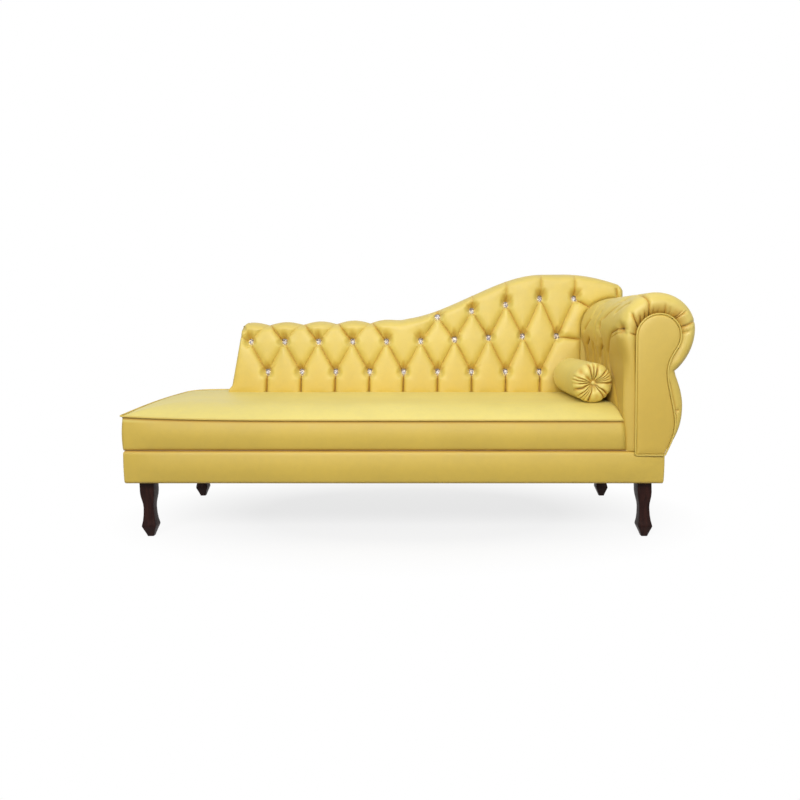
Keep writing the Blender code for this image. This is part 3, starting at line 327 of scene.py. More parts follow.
def puckers(points, tufts, height, near, spread):
    """Small wrinkles that run out from each tuft."""
    out = np.zeros(len(points))
    for number, (place, *_) in enumerate(tufts):
        across = points - np.asarray(place)
        gap = np.linalg.norm(across, axis=1)
        angle = np.arctan2(across[:, 1], across[:, 0])
        turn = 1.7 * number
        waves = np.cos(7 * angle + turn) + 0.7 * np.cos(11 * angle - 2.3 * turn)
        waves = waves + 0.5 * np.cos(4 * angle + 0.6 * turn)
        out += height * waves * np.exp(-((gap - near) / spread) ** 2)
    return out


def cut_folds(bm, creases):
    """Cuts the flat sheet along and beside each crease, so that the cloth's crease has edges to follow."""
    for start, end, *_ in creases:
        start, end = Vector((*start, 0.0)), Vector((*end, 0.0))
        along = (end - start).normalized()
        across = Vector((-along.y, along.x, 0.0))
        length = (end - start).length
        verts = []
        for vert in bm.verts:
            place = vert.co - start
            if abs(place.dot(across)) < CUT_REACH and -CUT_REACH < place.dot(along) < length + CUT_REACH:
                verts.append(vert)
        geom = {*verts, *(e for v in verts for e in v.link_edges), *(f for v in verts for f in v.link_faces)}
        geom = list(geom)
        for offset in CUT_OFFSETS:
            geom = bmesh.ops.bisect_plane(
                bm, geom=geom, dist=0.0004, plane_co=start + across * offset, plane_no=across)["geom"]


def settle(obj, held, pressure, limit):
    """Fills a piece with air in a cloth simulation and keeps how it settles, no further than the limit."""
    group = obj.vertex_groups.new(name="held")
    held = np.rint(held * 4) / 4
    for weight in (1.0, 0.75, 0.5, 0.25):
        group.add([int(i) for i in np.nonzero(held == weight)[0]], weight, "REPLACE")
    cloth = obj.modifiers.new("settle", "CLOTH")
    for name, value in CLOTH_RULES.items():
        setattr(cloth.settings, name, value)
    cloth.settings.uniform_pressure_force = pressure
    cloth.settings.effector_weights.gravity = 0.0
    scene = bpy.context.scene
    first = scene.frame_current
    cloth.point_cache.frame_start = 1
    cloth.point_cache.frame_end = AIR_FRAMES
    for number in range(1, AIR_FRAMES + 1):
        scene.frame_set(number)
    ready = obj.evaluated_get(bpy.context.evaluated_depsgraph_get())
    before = np.empty(len(obj.data.vertices) * 3, np.float32)
    after = np.empty_like(before)
    obj.data.vertices.foreach_get("co", before)
    ready.data.vertices.foreach_get("co", after)
    moved = (after - before).reshape(-1, 3)
    length = np.linalg.norm(moved, axis=1)
    moved *= (limit * np.tanh(length / limit) / np.maximum(length, 1e-9))[:, None]
    obj.modifiers.remove(cloth)
    obj.vertex_groups.remove(group)
    obj.data.vertices.foreach_set("co", (before.reshape(-1, 3) + moved).ravel())
    obj.data.update()
    scene.frame_set(first)


def rough(points, scale, seed):
    """Smooth noise from -1 to 1 at each point."""
    shift = Vector((seed * 7.3, seed * 3.1, seed * 5.7))
    return np.array([noise.noise(Vector(point) * scale + shift) for point in points])


# Materials
def feed(tree, node, inputs):
    """Gives a node's inputs, by name or number, a value or another node's output."""
    for key, value in inputs.items():
        if isinstance(value, bpy.types.NodeSocket):
            tree.links.new(value, node.inputs[key])
        else:
            node.inputs[key].default_value = value
    return node


def add_node(tree, kind, inputs=None, **rules):
    """A new shader node with its own settings and its inputs."""
    node = tree.nodes.new("ShaderNode" + kind)
    for name, value in rules.items():
        setattr(node, name, value)
    return feed(tree, node, inputs or {})


def math_node(tree, operation, a, b):
    return add_node(tree, "Math", {0: a, 1: b}, operation=operation).outputs[0]


def mix_colours(tree, share, a, b):
    return add_node(tree, "Mix", {0: share, 6: a, 7: b}, data_type="RGBA").outputs[2]


def noise_of(tree, vector, scale, detail=2.0):
    return add_node(tree, "TexNoise", {"Vector": vector, "Scale": scale, "Detail": detail}).outputs["Fac"]


def in_range(tree, value, low, high, to_low, to_high):
    numbers = {"From Min": low, "From Max": high, "To Min": to_low, "To Max": to_high}
    return add_node(tree, "MapRange", {"Value": value, **numbers}).outputs["Result"]


def new_group(name, colours, numbers):
    """A group that takes a vector, colours and numbers and puts out a colour, a roughness and a height."""
    group = bpy.data.node_groups.new(name, "ShaderNodeTree")
    sockets = [("Vector", "INPUT", "Vector")]
    sockets += [(label, "INPUT", "Color") for label in colours]
    sockets += [(label, "INPUT", "Float") for label in numbers]
    sockets += [("Colour", "OUTPUT", "Color")]
    sockets += [(label, "OUTPUT", "Float") for label in ("Roughness", "Height")]
    for label, way, kind in sockets:
        group.interface.new_socket(label, in_out=way, socket_type="NodeSocket" + kind)
    return group, group.nodes.new("NodeGroupInput").outputs, group.nodes.new("NodeGroupOutput")


def brushed_cloth_group():
    """Painted light and shade from a lit and a shaded cloth colour, fine grain and painted shade in the
    folds, shared by all the upholstery.
    """
    group, given, end = new_group(
        "brushed_cloth", ("Colour", "Shaded Colour", "Painted Shade Colour"), ("Painted Shading", "Painted Shade", "Roughness"))
    patches = noise_of(group, given["Vector"], 5.0, 3.0)
    brushed = noise_of(group, given["Vector"], 42.0, 4.0)
    grain = noise_of(group, given["Vector"], 900.0, 1.0)
    weave = add_node(group, "TexVoronoi", {"Vector": given["Vector"], "Scale": 1300.0})
    shade = math_node(group, "ADD", in_range(group, patches, 0.3, 0.7, -0.035, 0.035),
                      in_range(group, brushed, 0.3, 0.7, -0.025, 0.025))
    # Painted light and shade: the lit cloth colour mixed towards the shaded one
    lay = mix_colours(group, given["Painted Shading"], given["Colour"], given["Shaded Colour"])
    tone = add_node(group, "HueSaturation", {"Value": math_node(group, "ADD", shade, 1.0), "Color": lay})
    # Painted shade in folds and creases, darkest in seams and the deepest creases
    in_fold = in_range(group, given["Painted Shade"], 0.0, 0.8, 0.0, 1.0)
    in_deepest_shade = in_range(group, given["Painted Shade"], 0.75, 1.0, 0.0, 1.0)
    deep = mix_colours(group, in_fold, tone.outputs["Color"], given["Painted Shade Colour"])
    deep = mix_colours(group, in_deepest_shade, deep, DEEPEST_SHADE_COLOUR)
    specks = in_range(group, grain, 0.35, 0.65, 0.0, 0.10)
    worn = in_range(group, brushed, 0.3, 0.7, -0.05, 0.05)
    threads = math_node(group, "MULTIPLY", weave.outputs["Distance"], 0.6)
    feed(group, end, {
        "Colour": mix_colours(group, specks, deep, SPECK_COLOUR),
        "Roughness": math_node(group, "ADD", given["Roughness"], worn),
        "Height": math_node(group, "ADD", threads, grain),
    })
    return group


def wood_group():
    """Long grain with pores and uneven roughness, for the legs and the timber."""
    found = bpy.data.node_groups.get("long_grain")
    if found:
        return found
    group, given, end = new_group("long_grain", ("Light", "Dark"), ("Roughness",))
    rings = noise_of(group, given["Vector"], 2.2, 6.0)
    pores = noise_of(group, given["Vector"], 9.0, 2.0)
    share = in_range(group, rings, 0.35, 0.65, 0.0, 1.0)
    worn = in_range(group, pores, 0.3, 0.7, -0.06, 0.08)
    feed(group, end, {
        "Colour": mix_colours(group, share, given["Light"], given["Dark"]),
        "Roughness": math_node(group, "ADD", given["Roughness"], worn),
        "Height": math_node(group, "ADD", pores, rings),
    })
    return group


def new_material(name):
    """A material with its node tree, its shader and its Object coordinates."""
    material = bpy.data.materials.new(name)
    material.use_nodes = True
    tree = material.node_tree
    return material, tree, tree.nodes["Principled BSDF"], add_node(tree, "TexCoord").outputs["Object"]


def bumped(tree, height, distance, strength=1.0):
    inputs = {"Height": height, "Distance": distance, "Strength": strength}
    return add_node(tree, "Bump", inputs).outputs["Normal"]


def upholstery():
    """The soft yellow upholstery cloth, made once and then shared."""
    found = bpy.data.materials.get("yellow_brushed_cloth")
    if found:
        return found
    cloth = settings().cloth
    material, tree, shader, place = new_material("yellow_brushed_cloth")
    group = add_node(tree, "Group", {}, node_tree=brushed_cloth_group())
    feed(tree, group, {
        "Vector": place, "Colour": (*cloth.colour, 1.0), "Shaded Colour": (*cloth.shaded_colour, 1.0),
        "Painted Shade Colour": (*cloth.fold_colour, 1.0), "Roughness": cloth.roughness,
        "Painted Shade": add_node(tree, "Attribute", attribute_name="fold").outputs["Fac"],
        "Painted Shading": add_node(tree, "Attribute", attribute_name="nap").outputs["Fac"],
    })
    feed(tree, shader, {
        "Base Color": group.outputs["Colour"], "Roughness": group.outputs["Roughness"],
        "Normal": bumped(tree, group.outputs["Height"], cloth.grain), "Specular IOR Level": 0.72,
        "Sheen Weight": 0.08, "Sheen Roughness": 0.40, "Sheen Tint": (1.0, 0.95, 0.72, 1.0),
    })
    return material


def wood(name, light, dark, roughness, stretch, coat=0.0):
    """A timber or a stained and lacquered wood, with its grain along the stretched axis."""
    material, tree, shader, place = new_material(name)
    mapping = add_node(tree, "Mapping", {"Vector": place, "Scale": stretch})
    group = add_node(tree, "Group", {}, node_tree=wood_group())
    feed(tree, group, {
        "Vector": mapping.outputs["Vector"], "Light": (*light, 1.0), "Dark": (*dark, 1.0),
        "Roughness": roughness,
    })
    feed(tree, shader, {
        "Base Color": group.outputs["Colour"], "Roughness": group.outputs["Roughness"],
        "Normal": bumped(tree, group.outputs["Height"], 0.0003, 0.5), "Specular IOR Level": 0.12,
        "Coat Weight": coat, "Coat Roughness": 0.12,
    })
    return material


def dust_cloth():
    """The thin black non-woven cloth under the base."""
    material, tree, shader, place = new_material("black_dust_cloth")
    fibres = noise_of(tree, place, 700.0, 3.0)
    feed(tree, shader, {
        "Base Color": mix_colours(tree, fibres, (0.012, 0.012, 0.012, 1.0), (0.035, 0.035, 0.036, 1.0)),
        "Roughness": 0.92, "Normal": bumped(tree, fibres, 0.0004),
    })
    return material


def crystal_looks():
    """Cut crystal and the bright cup that holds it."""
    gem, tree, shader, place = new_material("cut_crystal")
    # Painted glints: noise patches of white and dark on the gem stand in for bright and dark facet
    # reflections
    tint = noise_of(tree, place, 260.0, 1.0)
    share = in_range(tree, tint, 0.42, 0.58, 0.0, 1.0)
    feed(tree, shader, {
        "Base Color": mix_colours(tree, share, (1.0, 0.98, 1.0, 1.0), (0.22, 0.17, 0.21, 1.0)),
        "Roughness": in_range(tree, tint, 0.3, 0.7, 0.03, 0.12),
        "Metallic": 0.60, "Coat Weight": 1.0, "Coat Roughness": 0.02,
    })
    cup, tree, shader, place = new_material("bright_cup")
    scuff = noise_of(tree, place, 500.0, 2.0)
    feed(tree, shader, {
        "Base Color": (0.17, 0.145, 0.125, 1.0), "Roughness": in_range(tree, scuff, 0.3, 0.7, 0.14, 0.30),
        "Metallic": 1.0,
    })
    return gem, cup


# The back
def on_back(x, front, height):
    """Room places from x, distance in front of the plywood and height up the lean."""
    y = BACK_FACE - front * math.cos(BACK_LEAN) + height * math.sin(BACK_LEAN)
    z = DECK_TOP + front * math.sin(BACK_LEAN) + height * math.cos(BACK_LEAN)
    return np.stack([x + 0 * y, y, z], axis=1)


def top_line(x):
    """Height of the back's top edge up the lean, without its scallops."""
    x = np.asarray(x, float)
    height = BACK_LOW_TOP + 0.014 * np.clip((x - BACK_LEFT) / (HUMP_X - BACK_LEFT), 0.0, 1.0)
    height = height + 0.181 * ease((x - HUMP_X) / 0.590)
    return height - 0.80 * np.maximum(x - CREST_X, 0.0) ** 2


def scallop(x):
    """How far the low part's top edge dips between two buttons."""
    fade = 1 - ease((x - HUMP_X + BUTTON_PITCH / 2) / BUTTON_PITCH)
    return 0.013 * fade * (1 - np.abs(np.sin(math.pi * (x - FIRST_BUTTON_X) / BUTTON_PITCH)))


def left_line(height):
    return BACK_LEFT + BACK_SLANT * height / BACK_LOW_TOP


def edge_height(x):
    """Height of the finished top edge, with scallops and rounded corners."""
    height = top_line(x) - scallop(x)
    for gap, corner in ((x - left_line(BACK_LOW_TOP), 0.018), (BACK_RIGHT - x, 0.030)):
        gap = np.clip(gap, 0.0, corner)
        height = height - (corner - np.sqrt(corner ** 2 - (corner - gap) ** 2))
    return height


def button_rows():
    low = [(FIRST_BUTTON_X + i * BUTTON_PITCH, 0.216) for i in range(9)]
    middle = []
    for i in range(10):
        x = FIRST_BUTTON_X + (i - 0.5) * BUTTON_PITCH
        middle.append((x, 0.335 + 0.12 * (float(top_line(x)) - BACK_LOW_TOP)))
    hump = []
    for i in range(5):
        x = FIRST_BUTTON_X + (i + 5) * BUTTON_PITCH
        hump.append((x, min(0.434 + 0.0245 * min(i, 3), float(top_line(x)) - 0.031)))
    return low, middle, hump


def fit_to_back(places, inset, top_at):
    """Spreads a sheet of shares across and up over the flat back, inside its outline by the inset."""
    u, v = places[:, 0].copy(), places[:, 1].copy()
    height = v * BACK_LOW_TOP
    for _ in range(4):
        start = left_line(np.minimum(height, BACK_LOW_TOP)) + inset
        x = start + u * (BACK_RIGHT - inset - start)
        height = BACK_FOOT + v * (top_at(x, start) - BACK_FOOT)
    return x, height


def back_creases(tuft):
    """Every pleat of the back, as drawn_in takes them."""
    low, middle, hump = button_rows()
    creases = []

    def crease(start, end, start_deep, end_deep, reach, slot):
        valleys = (tuft.valley * start_deep, tuft.valley * end_deep)
        creases.append((start, end, *valleys, reach, tuft.slot * slot))

    for i, place in enumerate(low):
        crease(place, (place[0] - 0.002, SEAT_UP_BACK - 0.02), 0.8, 0.6, 0.024, 2.4)
        crease(place, middle[i], 1.0, 1.0, 0.036, 1.1)
        crease(place, middle[i + 1], 1.0, 0.75, 0.036, 0.65 if i % 2 else 0.45)
    for i, place in enumerate(hump):
        top = float(top_line(place[0]))
        crease(place, (place[0] + 0.004 * (i % 2), top + 0.01), 0.8, 0.25, 0.026, 0.7)
        crease(place, middle[i + 5], 1.0, 1.0, 0.036, 0.6)
        if i < 4:
            crease(place, middle[i + 6], 1.0, 1.0, 0.036, 1.2)
    for i, (x, z) in enumerate(middle[:5]):
        for side in (-0.5, 0.5):
            top_x = x + side * BUTTON_PITCH
            if top_x < left_line(z) + 0.022 or (i == 4 and side > 0):
                continue
            top = float(top_line(top_x)) - 0.013
            deep = 1.2 if side < 0 else 0.6
            crease((x, z), (top_x + 0.006, top + 0.006), deep, 0.6 * deep, 0.030, deep * deep)
    x, z = middle[0]
    crease((x, z), (left_line(z) + 0.003, z + 0.030), 1.0, 0.6, 0.026, 1.2)
    x, z = middle[9]
    crease((x, z), (x + 0.095, z - 0.012), 0.9, 0.8, 0.030, 1.6)
    x, z = hump[4]
    crease((x, z), (x + 0.075, z - 0.042), 0.9, 0.9, 0.034, 1.7)
    x = BACK_RIGHT - 0.038
    crease((x - 0.002, 0.545), (x + 0.004, 0.500), 0.6, 0.8, 0.020, 1.3)
    return creases


def button_wrinkles(tufts):
    """Short sharp wrinkles that run up and out from each button."""
    wrinkles = []
    for number, (place, *_) in enumerate(tufts):
        for k, turn in enumerate((134, 112, 95, 79, 60, 41, -72, -108)):
            angle = math.radians(turn + 9 * math.sin(3.1 * number + 1.9 * k))
            length = (0.022 if turn > 0 else 0.010) * (1 + 0.45 * math.sin(2.3 * number + 2.7 * k))
            deep = (0.0022 if turn > 0 else 0.0012) * (1 + 0.5 * math.cos(1.3 * number + 3.7 * k))
            way = np.array([math.cos(angle), math.sin(angle)])
            start, end = np.asarray(place) + way * 0.011, np.asarray(place) + way * (0.013 + length)
            wrinkles.append((tuple(start), tuple(end), 0.0, 0.0, 0.01, deep))
    return wrinkles


def beside_arm(x, height):
    """0 where the arm lies in front of the back's face, rising to 1 a little way off it."""
    above = height - (ROLL_HEIGHT - DECK_TOP)
    aside = ROLL_X - ROLL_HALF - x
    round_top = np.sqrt(((x - ROLL_X) / ROLL_HALF) ** 2 + (np.maximum(above, 0) / ROLL_RISE) ** 2) - 1
    away = np.where(above > 0, round_top * ROLL_HALF, aside)
    return np.sqrt(np.clip(1 - (1 - np.clip(away / 0.024, 0, 1)) ** 2, 0, 1))


def back_surface(points, tuft, creases):
    """Distance in front of the plywood, painted shade, hold and distance to a button, at flat points of the
    back.
    """
    x, height = points[:, 0], points[:, 1]
    low, middle, hump = button_rows()
    tufts = [(place, tuft.depth, 0.041, 0.0130) for place in (*low, *middle, *hump)]
    wide, narrow = drawn_in(points, creases, tufts, tall=True)
    at_edge = 0.25 + 0.75 * ease((x - left_line(height)) / 0.055)
    wide, narrow = wide * at_edge, narrow * at_edge
    _, fine = drawn_in(points, button_wrinkles(tufts), [])
    shown = ease((height - SEAT_UP_BACK + 0.018) / 0.012)
    near_button = np.min([np.linalg.norm(points - np.asarray(place), axis=1) for place, *_ in tufts], axis=0)
    # Painted shadow: a soft dark patch above each button, where the cloth faces down
    shadow = np.zeros(len(points))
    for (button_x, button_z), *_ in tufts:
        above = height - button_z
        up = (above - 0.012) / np.where(above > 0.012, 0.026, 0.010)
        aside = (x - button_x) / (0.008 + 0.26 * np.maximum(above, 0))
        shadow = np.maximum(shadow, np.exp(-aside ** 2 - up ** 2))
    fine = fine * (near_button > 0.0115)
    crown = 0.004 * np.clip(1 - wide / 0.012, 0.0, 1.0)
    soft = puckers(points, tufts, tuft.pucker, 0.022, 0.008)
    thick = BACK_THICK + crown - wide + soft
    upright = np.minimum(BACK_THIN + height * math.tan(BACK_LEAN), BACK_THICK)
    thick = np.minimum(upright, thick) * (1 - shown) + thick * shown
    arm = beside_arm(x, height)
    thick = np.minimum(thick, BACK_THIN) * (1 - arm) + thick * arm
    rim = 0.034
    edge_x = np.linspace(left_line(BACK_LOW_TOP), BACK_RIGHT, 420)
    top = paired(edge_x, edge_height(edge_x))
    gap = np.full(len(points), rim)
    for part in np.array_split(np.arange(len(points)), 90):
        near = np.linalg.norm(points[part, None, :] - top[None, :, :], axis=2).min(axis=1)
        gap[part] = np.minimum(gap[part], near)
    left_round = 0.002 + 0.016 * ease((height - SEAT_UP_BACK - 0.003) / 0.022)
    gap = np.minimum(gap, np.maximum((x - left_line(height)) * rim / left_round, 0.0))
    beside = ROLL_HEIGHT + ROLL_RISE - DECK_TOP
    right_gap = np.where(height < beside, (BACK_RIGHT - x) * rim / 0.014, BACK_RIGHT - x)
    gap = np.minimum(gap, np.maximum(right_gap, 0.0))
    share = 1 - gap / rim
    rounded = np.sqrt(np.clip(1 - share ** 2, 0.0, 1.0))
    thick = (thick + 0.016) * rounded - 0.016
    thick = thick - (narrow + fine) * shown * arm * ease(gap / 0.008)
    # Painted shade in the pleats' slots, the wrinkles, the dark slits and above the buttons
    fold = np.clip(narrow / 0.0075, 0, 1) * 0.70 + shadow * 0.42 + fine * 120
    slit_shade = np.clip((narrow - 0.008) / 0.004, 0, 1) * 0.35
    held = np.clip(np.maximum(wide / 0.005, narrow / 0.0008), 0, 1)
    held = np.maximum(held, np.maximum(1 - shown, 1 - np.clip(gap / rim, 0, 1)))
    held = np.maximum(held, np.clip((1 - arm) * 4, 0, 1))
    return thick, np.clip(np.minimum(fold, 0.72) + slit_shade, 0, 1) * shown, held, near_button


def build_back_pad():
    """The deep-buttoned back, with the pleats cut into its sheet and its edge rolled to the rear."""
    tuft = settings().tuft
    bm = grid_sheet(graded(0.0, 1.0, 0.0024, 0.0011, 0.02), graded(0.0, 1.0, 0.0070, 0.0035, 0.09))
    places = places_of(bm)
    places[:, 0], places[:, 1] = fit_to_back(places, 0.0, lambda x, start: edge_height(x))
    put_places(bm, places)
    creases = back_creases(tuft)
    cut_folds(bm, creases)
    flat = places_of(bm)[:, :2]
    thick, fold, held, near = back_surface(flat, tuft, creases)
    put_places(bm, on_back(flat[:, 0], thick, flat[:, 1]))
    keep_values(bm, fold=fold, held=held, near=near)
    rim = open_edges(bm)
    rim_line = max(vert.co.y for edge in rim for vert in edge.verts) - 0.002
    rearwards = Vector((0, math.cos(BACK_LEAN), -math.sin(BACK_LEAN)))
    depth, steps = BACK_FULL_DEPTH - 0.016, 6
    for _ in range(steps):
        verts, rim = extrude_edges(bm, rim)
        bmesh.ops.translate(bm, verts=verts, vec=rearwards * (depth / steps))
    turned, _ = extrude_edges(bm, rim)
    flat = np.array([vert.co for vert in turned])
    x = flat[:, 0]
    height = (flat[:, 2] - DECK_TOP + BACK_FULL_DEPTH * math.sin(BACK_LEAN)) / math.cos(BACK_LEAN)
    from_top = np.abs(edge_height(np.clip(x, left_line(BACK_LOW_TOP), BACK_RIGHT)) - height)
    flap, fade = 0.038, 0.045
    from_left, from_right = np.abs(x - left_line(height)), np.abs(BACK_RIGHT - x)
    aside = flap * (np.exp(-from_left / fade) - np.exp(-from_right / fade))
    down = flap * np.exp(-from_top / fade)
    for vert, inwards, fall in zip(turned, aside, down):
        vert.co += Vector((inwards, 0, -fall))
    fold, held, near = kept_values(bm, "fold", "held", "near")
    places = places_of(bm)
    held[places[:, 1] > rim_line] = 1.0
    # Painted light and shade: the back is painted shaded low down and lit towards its top, and painted lit
    # round each button to offset the shade in its pit
    nap = 1.00 - 0.40 * ease((places[:, 2] - SEAT_TOP + 0.05) / 0.25)
    nap *= 1 - 0.90 * np.exp(-(near / 0.028) ** 2)
    piece = make_cover("buttoned_back", bm, "back_pad", 0.85, fold=fold, nap=nap)
    settle(piece, held, 3.0, 0.004)


def build_back_outside():
    """The plain cloth on the back's rear side, stretched over the posts."""
    bm = grid_sheet(graded(0.0, 1.0, 0.012, 0.004, 0.03), graded(0.0, 1.0, 0.03, 0.012, 0.08))
    places = places_of(bm)
    u, v = places[:, 0], places[:, 1]

    def cloth_top(x, start):
        return edge_height(np.clip(x, start + 0.01, BACK_RIGHT - 0.04)) + 0.9 * scallop(x) - 0.021

    x, height = fit_to_back(places, 0.0295, cloth_top)
    edge = np.minimum(np.minimum(u, 1 - u) * 60, (1 - v) * 14)
    puff = 0.0016 * ease(edge) + 0.0006 * rough(np.stack([x * 2, height * 0.7, 0 * x], axis=1), 6.0, 2)
    put_places(bm, on_back(x, -(BACK_FULL_DEPTH - 0.001) - puff, height))
    bmesh.ops.solidify(bm, geom=bm.faces[:], thickness=CLOTH_THICK)
    make_cover("back_outside_cloth", bm, "back_outside_cover", 1.0)


# The seat
def edge_level(x, y):
    """Height of the seat's open top edge."""
    front = 0.014 * np.exp((LEFT - x) / 0.18)
    rear = 0.041 - 0.011 * np.exp((LEFT - x) / 0.05)
    return WELT_LEVEL + front + (rear - front) * (y - FRONT) / (REAR - FRONT)


def seat_height(x, y):
    """The crowned top of the seat."""
    reach = np.minimum(x - LEFT - 0.0108, y - FRONT - 0.0108)
    reach = np.where(x < BACK_LEFT, np.minimum(reach, REAR - 0.0108 - y), reach)
    share = np.clip(reach / settings().seat.crown, 0.0, 1.0)
    edge = edge_level(x, y)
    return edge + (SEAT_TOP - edge) * (1 - (1 - share) ** 2)


def arm_face(height):
    share = (height - PAD_FOOT) / (SEAT_TOP - PAD_FOOT)
    return ARM_FACE + ARM_FLARE * np.maximum(1 - share, 0.0)


def spread_left(places):
    """Pushes the seat's left end out and bows its top edge up in the middle, as stuffing does."""
    rise = np.clip((places[:, 2] - PAD_FOOT) / (WELT_LEVEL - PAD_FOOT), 0.0, 1.0)
    near = 1 - ease((places[:, 0] - LEFT) / 0.25)
    across = np.clip((places[:, 1] - FRONT) / (REAR - FRONT), 0.0, 1.0)
    places[:, 0] -= (0.0100 - 0.0025 * rise) * near
    places[:, 2] += 0.006 * rise * near * np.sin(math.pi * across)


def side_swell(share):
    """Bulge of a boxed side from its upper seam (0) to its lower seam (1)."""
    return math.sin(math.pi * min(max(share, 0.0), 1.0)) - 0.45 * max((share - 0.94) / 0.06, 0.0)


def build_seat_pad():
    """The boxed seat: a crowned top, standing sides that swell a little, and a flat underside."""
    seat = settings().seat
    inset = 0.0098
    left_in, front_in, rear_in = LEFT + inset, FRONT + inset, REAR - inset
    across = [graded(left_in, SEAT_NOTCH, 0.012, 0.006, 0.04),
              graded(SEAT_NOTCH, ARM_FACE - 0.001, 0.014, 0.008, 0.05)[1:]]
    up = [graded(front_in, SEAT_BACK, 0.012, 0.006, 0.04), graded(SEAT_BACK, rear_in, 0.012, 0.007, 0.03)[1:]]
    bm = grid_sheet(np.concatenate(across), np.concatenate(up))
    middles = [(face, face.calc_center_median()) for face in bm.faces]
    behind = [face for face, place in middles if place.x > SEAT_NOTCH and place.y > SEAT_BACK]
    bmesh.ops.delete(bm, geom=behind, context="FACES")
    places = places_of(bm)
    places[:, 2] = seat_height(places[:, 0], places[:, 1])
    places[:, 2] += 0.0010 * rough(places * (1.0, 2.4, 0.0), 5.0, 1) * ease((places[:, 1] - front_in) / 0.05)
    put_places(bm, places)

    def outwards(vert, amount):
        x, y = vert.co.x, vert.co.y
        side = -amount if x < left_in + 0.002 else 0.0
        depth = -amount if y < front_in + 0.002 else (amount if y > rear_in - 0.002 else 0.0)
        return Vector((side, depth, 0.0))

    for vert in bm.verts:
        out = outwards(vert, 0.002)
        if out.x and out.y:
            vert.co -= out
    ring = open_edges(bm)
    steps = [(0.0036, 0.0006), (0.0012, 0.0026), (-0.0014, 0.0030)]
    side = 14
    for number in range(len(steps) + side):
        verts, ring = extrude_edges(bm, ring)
        if number < len(steps):
            out, fall = steps[number]
            for vert in verts:
                vert.co += outwards(vert, out)
                vert.co.z -= fall
        else:
            done = number - len(steps)
            change = side_swell((done + 1) / side) - side_swell(done / side)
            for vert in verts:
                from_corner = max(abs(vert.co.x - LEFT), abs(vert.co.y - FRONT))
                fade = 0.30 + 0.70 * float(ease(from_corner / 0.12))
                vert.co += outwards(vert, seat.swell * change * fade)
                vert.co.z -= (vert.co.z - PAD_FOOT) / (side - done)
        for vert in verts:
            if vert.co.x > ARM_FACE - 0.0015:
                vert.co.x = float(arm_face(vert.co.z)) - 0.001
            if vert.co.y > SEAT_BACK + 0.001 and vert.co.x > BACK_LEFT - 0.003:
                vert.co.x = float(left_line(vert.co.z - DECK_TOP)) - 0.0015
    bmesh.ops.holes_fill(bm, edges=ring)
    bmesh.ops.triangulate(bm, faces=[face for face in bm.faces if len(face.verts) > 4])
    places = places_of(bm)
    spread_left(places)
    put_places(bm, places)
    x, y, z = places.T
    # Painted shade under the piping and along the seat's foot, on its outer sides
    near_seam = np.exp(-((z - edge_level(x, y) + 0.0065) / 0.0035) ** 2)
    foot = np.exp(-((z - PAD_FOOT) / 0.004) ** 2)
    outer = (y < FRONT + 0.02) | (x < LEFT + 0.02) | (y > REAR - 0.02)
    fold = np.where(outer, 0.95 * near_seam + 0.9 * foot, 0.0)
    inside = np.minimum(x - LEFT, y - FRONT)
    held = np.where(z > SEAT_TOP - 0.03, np.clip(1 - (inside - 0.012) / 0.04, 0, 1), 1.0)
    by_arm, by_back = np.clip((x - 0.50) / 0.04, 0, 1), np.clip((y - SEAT_BACK + 0.03) / 0.02, 0, 1)
    held = np.maximum(held, by_arm + by_back)
    front_face = (y < FRONT + 0.004) & (z > PAD_FOOT + 0.008) & (z < WELT_LEVEL - 0.012)
    held = np.where(front_face, 0.0, np.clip(held, 0, 1))
    # Painted light and shade: the crowned top is painted lit and the boxed sides shaded
    nap = ease((WELT_LEVEL + 0.002 - z) / 0.01)
    piece = make_cover("seat_cushion", bm, "seat_pad", 0.8, fold=fold, nap=nap)
    settle(piece, held, 1.0, 0.0025)


def piping(name, path, node, closed=False):
    """A round welt of cloth along the path, made ring by ring."""
    bm = bmesh.new()
    path = [Vector(place) for place in path]
    count = len(path)
    rings = []
    side = Vector((0, 0, 1))
    for i, place in enumerate(path):
        if closed:
            along = (path[(i + 1) % count] - path[i - 1]).normalized()
        else:
            along = (path[min(i + 1, count - 1)] - path[max(i - 1, 0)]).normalized()
        side = (side - along * side.dot(along)).normalized()
        turn = Matrix((side, along.cross(side), along)).transposed().to_4x4()
        turn.translation = place
        made = bmesh.ops.create_circle(bm, cap_ends=False, segments=10, radius=PIPING_RADIUS, matrix=turn)
        rings.append(list({edge for vert in made["verts"] for edge in vert.link_edges}))
    for a, b in zip(rings, rings[1:] + (rings[:1] if closed else [])):
        bmesh.ops.bridge_loops(bm, edges=[*a, *b])
    if not closed:
        bmesh.ops.holes_fill(bm, edges=open_edges(bm))
    # Painted shade: the piping is painted mostly in the shaded colour
    make_cover(name, bm, node, 1.0, nap=0.8)


def build_seat_welt():
    """The thin piping along the seat's open top edge."""
    front, left, rear = FRONT + 0.0030, LEFT + 0.0030, REAR - 0.0030
    corner = 0.006
    bends = [(corner * (1 - math.sin(a)), corner * (1 - math.cos(a))) for a in (0.0, 0.5, 1.05, 1.5)]
    flat = [(x, front) for x in np.arange(ARM_FACE - 0.002, left + corner, -0.012)]
    flat += [(left + a, front + b) for a, b in bends]
    flat += [(left, y) for y in np.arange(front + corner + 0.01, rear - corner, 0.012)]
    flat += [(left + b, rear - a) for a, b in bends]
    flat += [(x, rear) for x in np.arange(left + corner + 0.01, SEAT_NOTCH, 0.012)]
    path = np.array([(x, y, float(edge_level(x, y))) for x, y in flat])
    spread_left(path)
    piping("seat_piping", path, "seat_welt")


